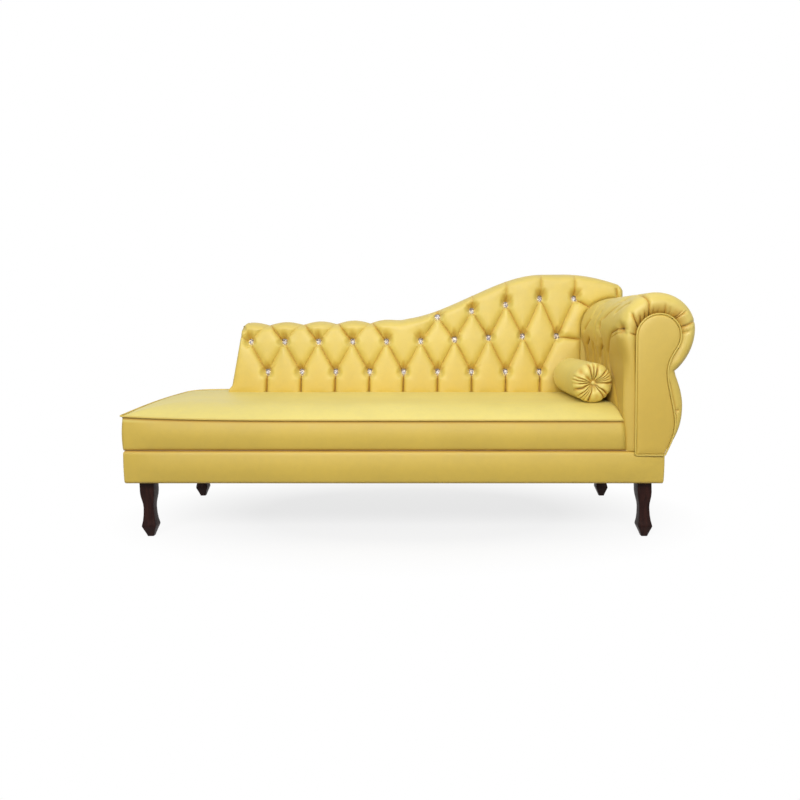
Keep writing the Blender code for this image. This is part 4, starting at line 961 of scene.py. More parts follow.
def build_base_cover():
    """The upholstered band round the base, tucked in at its seam and rolled under at its foot."""

    def rise(edge):
        return abs(edge.verts[0].co.z - edge.verts[1].co.z)

    bm = bmesh.new()
    size = (RIGHT - LEFT, REAR - FRONT, DECK_TOP - BAND_FOOT)
    centre = ((LEFT + RIGHT) / 2, (FRONT + REAR) / 2, (BAND_FOOT + DECK_TOP) / 2)
    bmesh.ops.create_cube(bm, size=1.0, matrix=Matrix.Translation(centre) @ Matrix.Diagonal((*size, 1.0)))
    caps = [face for face in bm.faces if abs(face.normal.z) > 0.5]
    bmesh.ops.delete(bm, geom=caps, context="FACES_ONLY")
    upright = [edge for edge in bm.edges if rise(edge) > 0.05]
    bmesh.ops.bevel(bm, geom=upright, offset=0.0045, segments=4, profile=0.5, affect="EDGES", material=-1)
    for _ in range(7):
        level = [edge for edge in bm.edges if rise(edge) < 0.001 and edge.calc_length() > 0.02]
        if level:
            bmesh.ops.subdivide_edges(bm, edges=level, cuts=1, use_grid_fill=False)
    upright = [edge for edge in bm.edges if rise(edge) > 0.05]
    bmesh.ops.subdivide_edges(bm, edges=upright, cuts=21, use_grid_fill=True)
    bmesh.ops.recalc_face_normals(bm, faces=bm.faces)
    bm.normal_update()
    places = places_of(bm)
    outward = np.array([vert.normal for vert in bm.verts])
    outward[:, 2] = 0
    outward /= np.linalg.norm(outward, axis=1)[:, None]
    share = (places[:, 2] - BAND_FOOT) / (DECK_TOP - BAND_FOOT)
    wave = rough(places * (1.0, 1.0, 0.25), 4.0, 5)
    from_end = np.minimum(np.abs(places[:, 0] - LEFT), np.abs(places[:, 0] - RIGHT))
    from_corner = from_end + np.abs(places[:, 1] - FRONT)
    bulge = 0.0075 * (0.15 + 0.85 * ease(from_corner / 0.12))
    out = 0.0006 * wave + bulge * np.sin(np.pi * np.clip(share, 0, 1))
    out -= 0.0055 * np.exp(-((1 - share) / 0.035) ** 2) + 0.0034 * np.exp(-(share / 0.03) ** 2)
    put_places(bm, places + outward * out[:, None])
    # Painted shade in the groove under the seat and at the band's foot; the whole band is painted in the
    # shaded colour
    fold = 1.0 * np.exp(-((1 - share) / 0.03) ** 2) + 0.35 * np.exp(-(share / 0.035) ** 2)
    piece = make_cover("base_band", bm, "base_cover", 1.0, fold=fold, nap=1.0)
    shell = piece.modifiers.new("cloth_thickness", "SOLIDIFY")
    shell.thickness = CLOTH_THICK
    shell.offset = -1.0


# The arm
def arm_profile():
    """Finely spaced (x, z) points of the arm's section, and the distance round it at its landmarks."""
    t = np.linspace(0, 1, 60)
    low = PAD_FOOT + (SEAT_TOP - PAD_FOOT) * t
    high = SEAT_TOP + (ROLL_HEIGHT - SEAT_TOP) * t
    flat_top = ROLL_HEIGHT - 0.115
    bend = ease((high - flat_top) / (ROLL_HEIGHT - flat_top))
    over = np.pi * (1 - np.linspace(0, 1, 120))
    under = -math.radians(62.0) * t
    waist = NOTCH_HEIGHT + (BELLY_HEIGHT - NOTCH_HEIGHT) * t
    parts = [
        paired(arm_face(low), low),
        paired(ARM_FACE + (ROLL_LEFT - ARM_FACE) * bend, high),
        paired(ROLL_X + ROLL_HALF * np.cos(over), ROLL_HEIGHT + ROLL_RISE * np.sin(over)),
        paired(ROLL_X + ROLL_HALF * np.cos(under), ROLL_HEIGHT + ROLL_DROP * np.sin(under)),
        paired(RIGHT + 0.028 + 0.026 * np.sin(np.pi / 2 * t), waist),
        paired(RIGHT + 0.054 * (1 - t ** 2.4), BELLY_HEIGHT + (PAD_FOOT - BELLY_HEIGHT) * t),
    ]
    ends, line = [0], parts[0]
    for part in parts[1:]:
        ends.append(len(line) - 1)
        line = np.concatenate([line, part[1:]])
    ends.append(len(line) - 1)
    around = run_along(line)
    return line, around, [around[i] for i in ends]


def keyhole(inset):
    """The facing's outline from its left foot over the head to its right foot, with its landmarks."""
    radius = HEAD_RADIUS - inset
    angle = np.linspace(np.pi, math.radians(-22.0), 90)
    head = paired(HEAD_X + radius * np.cos(angle), HEAD_HEIGHT + radius * np.sin(angle))
    neck_height = NOTCH_HEIGHT + 0.011
    waist = [head[-1], (RIGHT - 0.005 - inset, neck_height),
             (RIGHT + 0.025 - inset, (neck_height + FACING_FOOT) / 2 - 0.0358),
             (RIGHT - 0.004 - inset, FACING_FOOT)]
    left_side = np.linspace((RIGHT - 0.095 + inset, FACING_FOOT), head[0], 40)
    line = np.concatenate([left_side[:-1], head, rounded_path(waist, 24)[1:]])
    around = run_along(line)
    top = 39 + int(np.argmax(head[:, 1]))
    right = 39 + int(np.argmin(abs(angle)))
    marks = [0, 39, top, right, 39 + 89 + 24, 39 + 89 + 48, len(line) - 1]
    return line, around, [around[i] for i in marks]


def rounded_path(points, steps):
    """Points on a Catmull-Rom curve through the given ones."""
    padded = [points[0], *points, points[-1]]
    path = [np.asarray(points[0], float)]
    for a, b, c, d in zip(padded, padded[1:], padded[2:], padded[3:]):
        a, b, c, d = (np.asarray(p, float) for p in (a, b, c, d))
        for i in range(1, steps + 1):
            t = i / steps
            bend = (2 * a - 5 * b + 4 * c - d) * t * t + (3 * b - a - 3 * c + d) * t ** 3
            path.append((2 * b + (c - a) * t + bend) / 2)
    return np.array(path)


def arm_marks():
    """Landmarks round the arm's section: distances from the pad's foot on the seat side."""
    _, _, (_, _, side, right, notch, belly, end) = arm_profile()
    top = (side + right) / 2
    return {"side": side, "top": top, "right": right, "notch": notch, "belly": belly, "end": end}


def arm_places(s, q, drawn):
    """Room places of the arm's cloth from distances round its section and back from the facing."""
    line, around, _ = arm_profile()
    hole, hole_around, hole_marks = keyhole(0.004)
    mark = arm_marks()

    profile = at_distance(s, around, line)
    along = at_distance(s + 0.002, around, line) - at_distance(s - 0.002, around, line)
    along /= np.linalg.norm(along, axis=1)[:, None]
    normal = paired(-along[:, 1], along[:, 0])
    stops = [0.0, *(mark[name] for name in ("side", "top", "right", "notch", "belly", "end"))]
    inner = at_distance(np.interp(s, stops, hole_marks), hole_around, hole)
    inner[:, 1] = np.maximum(inner[:, 1], PAD_FOOT)
    share = np.clip(q / LIP, 0.0, 1.0)
    angle = share * math.pi / 2
    roll = np.where(s < mark["right"], ease((profile[:, 1] - SEAT_TOP - 0.05) / 0.17),
                    1 - 0.75 * ease((s - mark["notch"] + 0.05) / 0.06))
    round_depth = LIP_ROUND * (0.30 + 0.70 * roll)
    body = np.clip((q - LIP) / (ARM_SPAN - LIP_ROUND), 0.0, 1.0)
    out = np.where(q < LIP, np.sin(angle) ** 0.9, 1.0)
    section = inner + (profile - inner) * out[:, None]
    behind = round_depth + body * (ARM_SPAN - round_depth)
    depth = np.where(q < LIP, round_depth * (1 - np.cos(angle)), behind)
    forward = roll * (0.017 * np.sin(np.pi * share ** 0.85) - 0.014 * np.exp(-share / 0.14)) * (q < LIP)
    facing = np.stack([normal[:, 0] * np.sin(angle), -np.cos(angle), normal[:, 1] * np.sin(angle)], axis=1)
    lean = body * (section[:, 1] - DECK_TOP) * math.tan(BACK_LEAN)
    places = np.stack([section[:, 0], FRONT + 0.0003 + depth + lean - forward, section[:, 1]], axis=1)
    places -= facing * drawn[:, None]
    places[:, 2] = np.maximum(places[:, 2], PAD_FOOT)
    return places, profile, depth, share


def arm_creases():
    """The arm's folds and hidden tufts, as drawn_in takes them.

    Places are given by the angle round the roll (0 outside, 90 on top, 180 towards the seat, more for
    lower down) and the distance back from the facing.
    """
    mark = arm_marks()
    side, right, belly = mark["side"], mark["right"], mark["belly"]

    def spot(place):
        return right - (right - side) * place[0] / 180.0, place[1]

    tufts = [(spot((178, 0.057)), 0.017, 0.034, 0.002), (spot((177, 0.292)), 0.014, 0.032, 0.002),
             (spot((120, 0.200)), 0.010, 0.045, 0.002), (spot((120, 0.440)), 0.010, 0.045, 0.002)]
    folds = (
        (((178, 0.057), (186, 0.145), (198, 0.180), (220, 0.232), (237, 0.240), (252, 0.216), (266, 0.184),
          (285, 0.160), (320, 0.110)), 0.0055, 0.0050, 0.022),
        (((185, 0.060), (194, 0.150)), 0.002, 0.0022, 0.012),
        (((178, 0.057), (190, 0.110)), 0.002, 0.0018, 0.010),
        (((181, 0.022), (179, 0.0)), 0.002, 0.0030, 0.010),
        (((148, 0.036), (159, 0.0)), 0.004, 0.0034, 0.014),
        (((138, 0.016), (147, 0.0)), 0.002, 0.0026, 0.008),
        (((126, 0.014), (133, 0.0)), 0.002, 0.0030, 0.008),
        (((113, 0.100), (112, 0.056), (111, 0.036), (115, 0.015), (117, 0.0)), 0.0045, 0.0042, 0.016),
        (((106, 0.013), (106, 0.001)), 0.003, 0.0014, 0.010),
        (((94, 0.010), (95, 0.001)), 0.002, 0.0010, 0.008),
        (((80, 0.020), (76, 0.003)), 0.003, 0.0018, 0.010),
        (((68, 0.017), (64, 0.004)), 0.003, 0.0014, 0.010),
        (((45, 0.003), (38, 0.034)), 0.003, 0.0034, 0.010),
        (((49, 0.003), (44, 0.028)), 0.002, 0.0028, 0.008),
        (((20, 0.004), (16, 0.022), (14, 0.045)), 0.0040, 0.0040, 0.016),
        (((14, 0.045), (12, 0.075)), 0.0004, 0.0020, 0.012),
        (((4, 0.003), (2, 0.022)), 0.004, 0.0010, 0.016),
        (((162, 0.262), (156, 0.235), (137, 0.165)), 0.004, 0.0026, 0.020),
        (((153, 0.140), (140, 0.100), (134, 0.075)), 0.0035, 0.0026, 0.018),
        (((182, 0.500), (164, 0.440)), 0.004, 0.0036, 0.020),
        (((177, 0.292), (163, 0.278)), 0.003, 0.0024, 0.014),
        (((177, 0.292), (195, 0.268), (207, 0.280), (216, 0.318), (231, 0.346), (245, 0.340), (305, 0.330)),
         0.0050, 0.0050, 0.020),
        (((196, 0.440), (210, 0.504), (241, 0.516), (300, 0.516)), 0.0040, 0.0050, 0.020),
        (((205, 0.400), (218, 0.424), (243, 0.436), (305, 0.430)), 0.0045, 0.0050, 0.018),
        (((214, 0.375), (243, 0.392), (300, 0.390)), 0.0030, 0.0034, 0.014),
        (((212, 0.262), (245, 0.284), (300, 0.280)), 0.0030, 0.0020, 0.016),
        (((150, 0.330), (176, 0.350), (200, 0.345)), 0.0030, 0.0018, 0.020),
        (((120, 0.200), (134, 0.120)), 0.003, 0.0, 0.030),
        (((120, 0.200), (162, 0.270)), 0.004, 0.0012, 0.030),
        (((120, 0.440), (165, 0.420)), 0.004, 0.0012, 0.030),
        (((120, 0.200), (70, 0.205)), 0.004, 0.0012, 0.040),
        (((120, 0.440), (70, 0.445)), 0.004, 0.0012, 0.040),
    )
    creases = []
    for places, valley, slot, reach in folds:
        spots = [spot(place) for place in places]
        count = len(spots) - 1
        if places[0][1] > 0.15 and places[0][0] > 125:
            valley, slot = valley * 1.5, slot * 1.5
        elif places[0][1] < 0.04 and 120 < places[0][0] < 160:
            valley, slot = valley * 1.5, slot * 1.3
        for i, (a, b) in enumerate(zip(spots, spots[1:])):
            low = valley * (1 - 0.15 * i / count)
            creases.append((a, b, low, valley * (1 - 0.15 * (i + 1) / count), reach, slot))
    creases.append(((belly - 0.028, 0.004), (belly - 0.010, 0.030), 0.002, 0.002, 0.012, 0.0024))
    creases.append(((belly - 0.10, 0.012), (belly + 0.07, 0.014), 0.001, 0.001, 0.010, 0.0022))
    return creases, tufts


def build_arm_pad():
    """The pleated pad over the arm, gathered round the facing at its front."""
    mark = arm_marks()
    lip_rows = np.linspace(0.0, LIP, 23)
    far = graded(LIP, LIP + ARM_SPAN - LIP_ROUND, 0.0046, 0.0036, 0.05)
    bm = grid_sheet(graded(0.0, mark["end"], 0.0042, 0.0040, 0.05), np.concatenate([lip_rows, far[1:]]))
    creases, tufts = arm_creases()
    cut_folds(bm, creases)
    flat = places_of(bm)[:, :2]
    wide, narrow = drawn_in(flat, creases, tufts)
    soft = puckers(flat, tufts, 0.0010, 0.018, 0.008)
    s, q = flat[:, 0], flat[:, 1]
    _, profile, depth, share = arm_places(s, q, np.zeros(len(s)))
    shown = ease((profile[:, 1] - SEAT_TOP + 0.012) / 0.01)
    off_foot = ease((profile[:, 1] - PAD_FOOT) / 0.02)
    shown = np.where(s > mark["top"], off_foot, shown)
    shown = np.where(q < LIP, np.maximum(shown, off_foot), shown)
    fade = np.where(q > LIP, 1 - ease((depth - ARM_SPAN + 0.014) / 0.014), 1.0)
    puff = 0.0015 * np.clip(1 - wide / 0.004, 0, 1)
    drawn = (wide + narrow - soft - puff) * shown * fade
    drawn += 0.010 * np.where(q > LIP, np.clip((depth - ARM_SPAN + 0.012) / 0.012, 0, 1) ** 2, 0.0) * shown
    places, *_ = arm_places(s, q, drawn)
    put_places(bm, places)
    # Painted shade in the pleats and their valleys
    fold = (np.clip(narrow / 0.0030, 0, 1) * 0.75 + np.clip((wide - 0.003) / 0.008, 0, 1) * 0.6) * shown
    on_roll = ease((profile[:, 1] - ROLL_HEIGHT + 0.02) / 0.05) * (s < mark["right"])
    uneven = 0.75 + 0.5 * rough(np.stack([s * 4.0, q, 0 * s], axis=1), 9.0, 3)
    # Painted shade on the roll's lip just above the facing, and deeper painted shade in the folds towards the
    # rear
    lip_shade = 0.80 * on_roll * uneven * np.exp(-(np.maximum(q - 0.004, 0) / 0.020) ** 2)
    fold = fold * (1 + 0.6 * ease((q - 0.12) / 0.08)) + lip_shade
    # Painted shade in each hidden tuft and along the seam at the facing
    gaps = [np.linalg.norm(flat - np.asarray(place), axis=1) for place, *_ in tufts]
    pit = np.exp(-(np.min(gaps, axis=0) / 0.005) ** 2)
    fold = np.clip(np.maximum(np.maximum(fold, pit), 0.7 * np.exp(-q / 0.005)), 0, 0.95)
    held = np.clip(np.maximum(wide / 0.003, narrow / 0.0008), 0, 1)
    held = np.maximum(held, np.maximum(1 - shown, np.clip(1 - (q - 0.004) / 0.012, 0, 1)))
    held = np.maximum(held, (depth > ARM_SPAN - 0.02) & (q > LIP))
    low_down = ease((SEAT_TOP + 0.20 - profile[:, 1]) / 0.14)
    held = np.maximum(held, (profile[:, 0] < ARM_FACE + 0.02) * low_down)
    # Painted shade over the arm's inner panel below the roll
    panel = ease((ROLL_HEIGHT + 0.01 - profile[:, 1]) / 0.05) * (s < mark["top"])
    fold = np.maximum(fold, 0.20 * panel)
    keep_values(bm, fold=fold, held=held)

    def at_front(vert):
        return vert.co.y < FRONT + 0.012 and vert.co.z > PAD_FOOT + 0.0005

    verts, _ = extrude_edges(bm, [edge for edge in open_edges(bm) if all(map(at_front, edge.verts))])
    bmesh.ops.translate(bm, verts=verts, vec=(0, 0.012, 0))
    fold, held = kept_values(bm, "fold", "held")
    # Painted light and shade: the roll's top painted lit and the panel below shaded
    nap = 0.45 + 0.40 * ease((ROLL_HEIGHT + 0.01 - places_of(bm)[:, 2]) / 0.09)
    piece = make_cover("pleated_arm", bm, "arm_pad", 0.75, fold=fold, nap=nap)
    settle(piece, held, 2.5, 0.003)


def facing_ring(inset, count):
    """Evenly spaced places round the closed keyhole, this far inside its seam."""
    line, _, _ = keyhole(inset)
    line = np.concatenate([line, np.linspace(line[-1], line[0], 30)[1:]])
    around = run_along(line)
    ring = at_distance(np.arange(count) * around[-1] / count, around, line)
    ring[:, 1] = np.maximum(ring[:, 1], FACING_FOOT + inset)
    return ring
def build_arm_facing():
    """The padded keyhole panel on the arm's front, with piping round it."""
    bm = bmesh.new()
    bmesh.ops.create_circle(bm, cap_ends=False, segments=260, radius=1.0)
    bm.verts.ensure_lookup_table()
    ring = list(bm.edges)
    verts = list(bm.verts)
    stages = ((0.0005, -0.0100), (0.0005, 0.0045), (0.0012, 0.0063), (0.003, 0.0079), (0.006, 0.0089),
              (0.011, 0.0094), (0.018, 0.0097), (0.026, 0.0098))
    for number, (inset, forward) in enumerate(stages):
        if number:
            made, ring = extrude_edges(bm, ring)
            fresh = {}
            for vert in made:
                root = next(e.other_vert(vert) for e in vert.link_edges if e.other_vert(vert) in order)
                fresh[order[root]] = vert
            verts = [fresh[i] for i in range(len(verts))]
        order = {vert: i for i, vert in enumerate(verts)}
        for vert, (x, z) in zip(verts, facing_ring(inset, len(verts))):
            vert.co = (x, FRONT - 0.0002 - forward, z)
    middle = bmesh.ops.contextual_create(bm, geom=ring)["faces"]
    bmesh.ops.triangulate(bm, faces=middle)
    held = np.array([1.0 if vert.co.y > FRONT - 0.0082 else 0.0 for vert in bm.verts])
    # Painted light and shade: the facing's head painted lit and its lower part shaded, with a slight even
    # painted shade over it all
    nap = 0.75 + 0.25 * ease((HEAD_HEIGHT + 0.05 - places_of(bm)[:, 2]) / 0.30)
    piece = make_cover("keyhole_facing", bm, "arm_facing", 0.9, fold=0.14, nap=nap)
    settle(piece, held, 1.5, 0.0015)
    line, around, _ = keyhole(-0.0028)
    front = FRONT - 0.0066
    path = [(x, front, z) for x, z in at_distance(np.linspace(0, around[-1], 150), around, line)]
    left, right = path[0][0], path[-1][0]
    bottom = [(left + (right - left) * t, front, FACING_FOOT - 0.0024) for t in np.linspace(0.97, 0.03, 14)]
    piping("facing_piping", path + bottom, "arm_facing_welt", closed=True)


# The bolster
def build_bolster():
    """The loose bolster, drawn in at each end under a covered button."""
    low, high = map(Vector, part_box("bolster"))
    centre = (low + high) / 2
    radius, half = (high.z - low.z) / 2, (high.y - low.y) / 2
    shape = settings().bolster
    neck, dimple, rounding = 0.007, 0.018, 0.034
    rim = radius - rounding
    stations = [(neck, -half + dimple)]
    for share in np.linspace(0.08, 1, 16):
        if share < 0.5:
            part = share / 0.5
            stations.append((neck + (rim - neck) * part, -half + dimple * (1 - part) ** 1.6))
        else:
            angle = math.pi / 2 * (share - 0.5) / 0.5
            stations.append((rim + rounding * math.sin(angle), -half + rounding * (1 - math.cos(angle))))
    stations += [(radius, float(y)) for y in np.linspace(-half + rounding, 0, 16)[1:]]
    stations += [(r, -y) for r, y in reversed(stations[:-1])]
    bm = bmesh.new()
    profile = [bm.verts.new((r, y, 0)) for r, y in stations]
    edges = [bm.edges.new(pair) for pair in zip(profile, profile[1:])]
    bmesh.ops.spin(bm, geom=[*profile, *edges], cent=(0, 0, 0), axis=(0, 1, 0), angle=2 * math.pi, steps=228,
                   use_merge=True, use_duplicate=False)
    bmesh.ops.remove_doubles(bm, verts=bm.verts, dist=0.00002)
    bmesh.ops.holes_fill(bm, edges=open_edges(bm))
    places = places_of(bm)
    r = np.hypot(places[:, 0], places[:, 2])
    angle = np.arctan2(places[:, 2], places[:, 0])
    end = np.sign(places[:, 1])
    from_end = half - np.abs(places[:, 1])
    turn = angle + 0.26 * np.sin(2 * angle + end) + 0.17 * np.sin(5 * angle + 2 * end)
    turn = turn + 0.02 * np.sin(r * 160 + 3 * angle)
    wave = np.abs(np.sin(turn * shape.gathers / 2))
    long = 0.5 + 0.5 * np.sin(turn * 7 + 1.3 * end) * np.cos(3 * angle)
    reach = 0.55 + 0.45 * long
    over = np.clip((r - neck) / (radius - neck), 0, 1)
    onto_side = np.clip((from_end - rounding * 0.6) / (0.030 * reach), 0, 1)
    strength = ease(over / 0.12) * (1 - ease((over - 0.25 - 0.62 * reach) / 0.3)) * (1 - onto_side)
    strength = np.maximum(strength, 0.35 * ease(over / 0.12) * (1 - ease(onto_side)))
    drawn = shape.gather_depth * strength * (1 - wave) ** 1.4
    swell = 0.0016 * strength * wave
    places[:, 1] -= end * drawn * np.clip(1.4 - over, 0.25, 1)
    pull = (drawn * 0.55 * over - swell) / np.maximum(r, 0.004)
    places[:, 0] *= 1 - pull
    places[:, 2] *= 1 - pull
    sag = 0.0012 * rough(places * (1, 0.6, 1), 14.0, 4)
    places[:, 0] += sag * np.cos(angle) * (over > 0.9)
    places[:, 2] += sag * np.sin(angle) * (over > 0.9)
    places[:, 2] = np.maximum(places[:, 2], -radius)
    # Painted shade in the gathers and at the drawn-in centre of each end
    fold = np.clip(strength * (1 - wave) ** 1.8 * 1.5 + 0.5 * (1 - ease(over / 0.2)), 0, 0.93)
    put_places(bm, places + np.array(centre))
    low_side = np.clip((0.3 - places[:, 2] / radius) / 0.3, 0, 1)
    by_arm = np.clip((places[:, 0] / radius - 0.5) / 0.3, 0, 1)
    held = np.clip(np.maximum(low_side + by_arm, np.where(over < 0.97, 1.0, 0.0)), 0, 1)
    # Painted light: the roll is painted mostly in the lit colour
    piece = make_cover("bolster_roll", bm, "bolster", 0.8, body="bolster", fold=fold, nap=0.1)
    settle(piece, held, 1.5, 0.002)
    for name, side in (("front", -1), ("rear", 1)):
        bm = bmesh.new()
        bmesh.ops.create_uvsphere(bm, u_segments=24, v_segments=12, radius=0.0065)
        bmesh.ops.scale(bm, vec=(1.0, 0.5, 1.0), verts=bm.verts)
        bmesh.ops.translate(bm, vec=centre + Vector((0, side * (half - 0.014), 0)), verts=bm.verts)
        # Painted shade: the knobs sit in slight painted shade
        make_cover(f"bolster_knob_{name}", bm, f"bolster_button_{name}", 1.0, body="bolster", fold=0.15)


# Hard pieces
def set_ring(face, half, x, y, height):
    """Moves a square face's corners to a new size and place, each on its own side of the middle."""
    middle = face.calc_center_median()
    for vert in face.verts:
        across, back = math.copysign(half, vert.co.x - middle.x), math.copysign(half, vert.co.y - middle.y)
        vert.co = (across + x, back + y, height)


def build_legs():
    """Four carved square legs with soft edges."""
    paint = settings().wood
    look = wood("dark_stained_leg", tuple(paint.leg_colour), (0.014, 0.004, 0.003), paint.leg_roughness,
                (60, 60, 8), coat=0.02)
    knots, halves = zip(*LEG_PROFILE)
    heights = np.unique(np.round(np.concatenate([knots, np.linspace(0.002, 0.19, 34)]), 4))
    for name in ("leg_front_left", "leg_front_right", "leg_rear_left", "leg_rear_right"):
        points = np.array([vert.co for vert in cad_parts[name].data.vertices])
        block = points[(points[:, 2] > 0.16) & (points[:, 2] < 0.1915)]
        x, y = (block[:, 0].min() + block[:, 0].max()) / 2, (block[:, 1].min() + block[:, 1].max()) / 2
        foot = points[points[:, 2] < 0.0005]
        shift = (foot[:, 0].min() + foot[:, 0].max()) / 2 - x
        bm = bmesh.new()
        bmesh.ops.create_circle(bm, cap_ends=True, segments=4, radius=1.0)
        bmesh.ops.rotate(bm, verts=bm.verts, cent=(0, 0, 0), matrix=Matrix.Rotation(math.radians(45), 3, "Z"))
        face = list(bm.faces)[0]
        set_ring(face, halves[0], x + shift, y, 0.0)
        for height in heights[1:]:
            below = face
            made = bmesh.ops.extrude_face_region(bm, geom=[face])["geom"]
            face = next(item for item in made if isinstance(item, bmesh.types.BMFace))
            if height > heights[1]:
                bmesh.ops.delete(bm, geom=[below], context="FACES_ONLY")
            half = float(np.interp(height, knots, halves))
            set_ring(face, half, x + shift * (1 - height / 0.191), y, float(height))
        corners = []
        for edge in bm.edges:
            if abs(edge.verts[0].co.z - edge.verts[1].co.z) > 0.0005 and len(edge.link_faces) == 2:
                corners.append(edge)
        bmesh.ops.bevel(bm, geom=corners, offset=0.0028, segments=3, profile=0.5, affect="EDGES", material=-1)
        bmesh.ops.recalc_face_normals(bm, faces=bm.faces)
        piece = make_piece(name.replace("leg", "carved_leg"), bm, look, "leg_wood", stands_for=(name,))
        piece.data.set_sharp_from_angle(angle=math.radians(38))


def build_crystals():
    """A cut crystal in a bright cup at each button of the back."""
    looks = crystal_looks()
    lean = Matrix.Rotation(math.radians(90) - BACK_LEAN, 4, "X")
    size = Matrix.Translation((0, 0, -0.0020)) @ Matrix.Diagonal((1.18, 1.18, 1, 1))
    cup_steps = ((1.02, 0.0025), (0.96, 0.0012), (0.86, 0.0), (0.82, -0.0016))
    gem_steps = ((0.0104, 0.0080, 0.0022, 0.0026, 0.0), (0.0080, 0.0046, 0.0048, 0.0020, 0.39))
    for number in range(1, 25):
        node = f"crystal_button_{number:02d}"
        low, high = map(Vector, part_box(node))
        bm = bmesh.new()
        bmesh.ops.create_circle(bm, cap_ends=False, segments=20, radius=0.0125)
        ring = list(bm.edges)
        for scale, rise in cup_steps:
            verts, ring = extrude_edges(bm, ring)
            bmesh.ops.scale(bm, vec=(scale, scale, 1), verts=verts)
            bmesh.ops.translate(bm, vec=(0, 0, rise), verts=verts)
        bmesh.ops.holes_fill(bm, edges=open_edges(bm))
        for face in bm.faces:
            face.material_index = 1
            face.smooth = True
        cup_faces = len(bm.faces)
        spin = Matrix.Rotation(number * 0.37, 4, "Z")
        for girdle, table, foot, depth, angle in gem_steps:
            place = spin @ Matrix.Rotation(angle, 4, "Z") @ Matrix.Translation((0, 0, foot + depth / 2))
            bmesh.ops.create_cone(
                bm, cap_ends=True, segments=8, radius1=girdle, radius2=table, depth=depth, matrix=place)
        sides = [face for face in list(bm.faces)[cup_faces:] if len(face.verts) == 4]
        bmesh.ops.triangulate(bm, faces=sides, quad_method="ALTERNATE")
        place = Matrix.Translation((low + high) / 2) @ lean @ size
        bmesh.ops.transform(bm, matrix=place, verts=bm.verts)
        make_piece(node.replace("button", "stud"), bm, looks, "crystal", flat=True, stands_for=(node,))


def finish_frame():
    """Materials for the timber, boards and dust cloth that stay as the solids have them."""
    pine = wood("sawn_pine", (0.62, 0.45, 0.27), (0.46, 0.30, 0.15), 0.62, (3, 30, 30))
    ply = wood("plywood_board", (0.66, 0.50, 0.32), (0.52, 0.36, 0.20), 0.60, (4, 24, 60))
    black = dust_cloth()
    boards = ("seat_deck", "back_panel", "arm_front_board", "arm_rear_board")
    for name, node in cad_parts.items():
        if node.hide_render:
            continue
        look = black if name == "dust_cover" else ply if name in boards else pine
        node.data.materials.clear()
        node.data.materials.append(look)


# Floor, backdrop, light and camera
def seen_rays(tree):
    """Whether a ray is the camera's own, and whether it is that, a mirrored or a refracted one."""
    rays = add_node(tree, "LightPath").outputs
    seen = math_node(tree, "MAXIMUM", rays["Is Camera Ray"], rays["Is Glossy Ray"])
    return rays["Is Camera Ray"], math_node(tree, "MAXIMUM", seen, rays["Is Transmission Ray"])


def mix_to_output(tree, share, first, second, output):
    """Mixes two shaders and joins them to the tree's output."""
    mix = add_node(tree, "MixShader", {0: share, 1: first.outputs[0], 2: second.outputs[0]})
    feed(tree, tree.nodes[output], {"Surface": mix.outputs[0]})


def place_in_scene(name, data):
    obj = bpy.data.objects.new(name, data)
    bpy.context.scene.collection.objects.link(obj)
    return obj


def build_floor():
    """A pale floor that fades to white and keeps the sofa's shadow."""
    material, tree, shader, place = new_material("pale_floor")
    mapping = add_node(tree, "Mapping", {"Vector": place, "Scale": (0.72, 1.15, 0.0)})
    away = add_node(tree, "VectorMath", {0: mapping.outputs["Vector"]}, operation="LENGTH")
    grain = noise_of(tree, place, 30.0)
    camera_ray, seen = seen_rays(tree)
    seen_colour = mix_colours(tree, grain, (0.90, 0.90, 0.90, 1.0), (0.93, 0.93, 0.93, 1.0))
    bounce_colour = mix_colours(tree, grain, (0.33, 0.33, 0.33, 1.0), (0.36, 0.36, 0.36, 1.0))
    feed(tree, shader, {
        "Base Color": mix_colours(tree, camera_ray, bounce_colour, seen_colour), "Roughness": 0.75,
        "Specular IOR Level": 0.1,
    })
    white = add_node(tree, "Emission", {"Color": WHITE})
    share = math_node(tree, "MULTIPLY", seen, in_range(tree, away.outputs["Value"], 0.40, 0.80, 0.78, 1.0))
    mix_to_output(tree, share, shader, white, "Material Output")
    bm = bmesh.new()
    bmesh.ops.create_grid(bm, x_segments=8, y_segments=8, size=9.0)
    mesh = bpy.data.meshes.new("floor")
    bm.to_mesh(mesh)
    bm.free()
    mesh.materials.append(material)
    place_in_scene("floor", mesh)


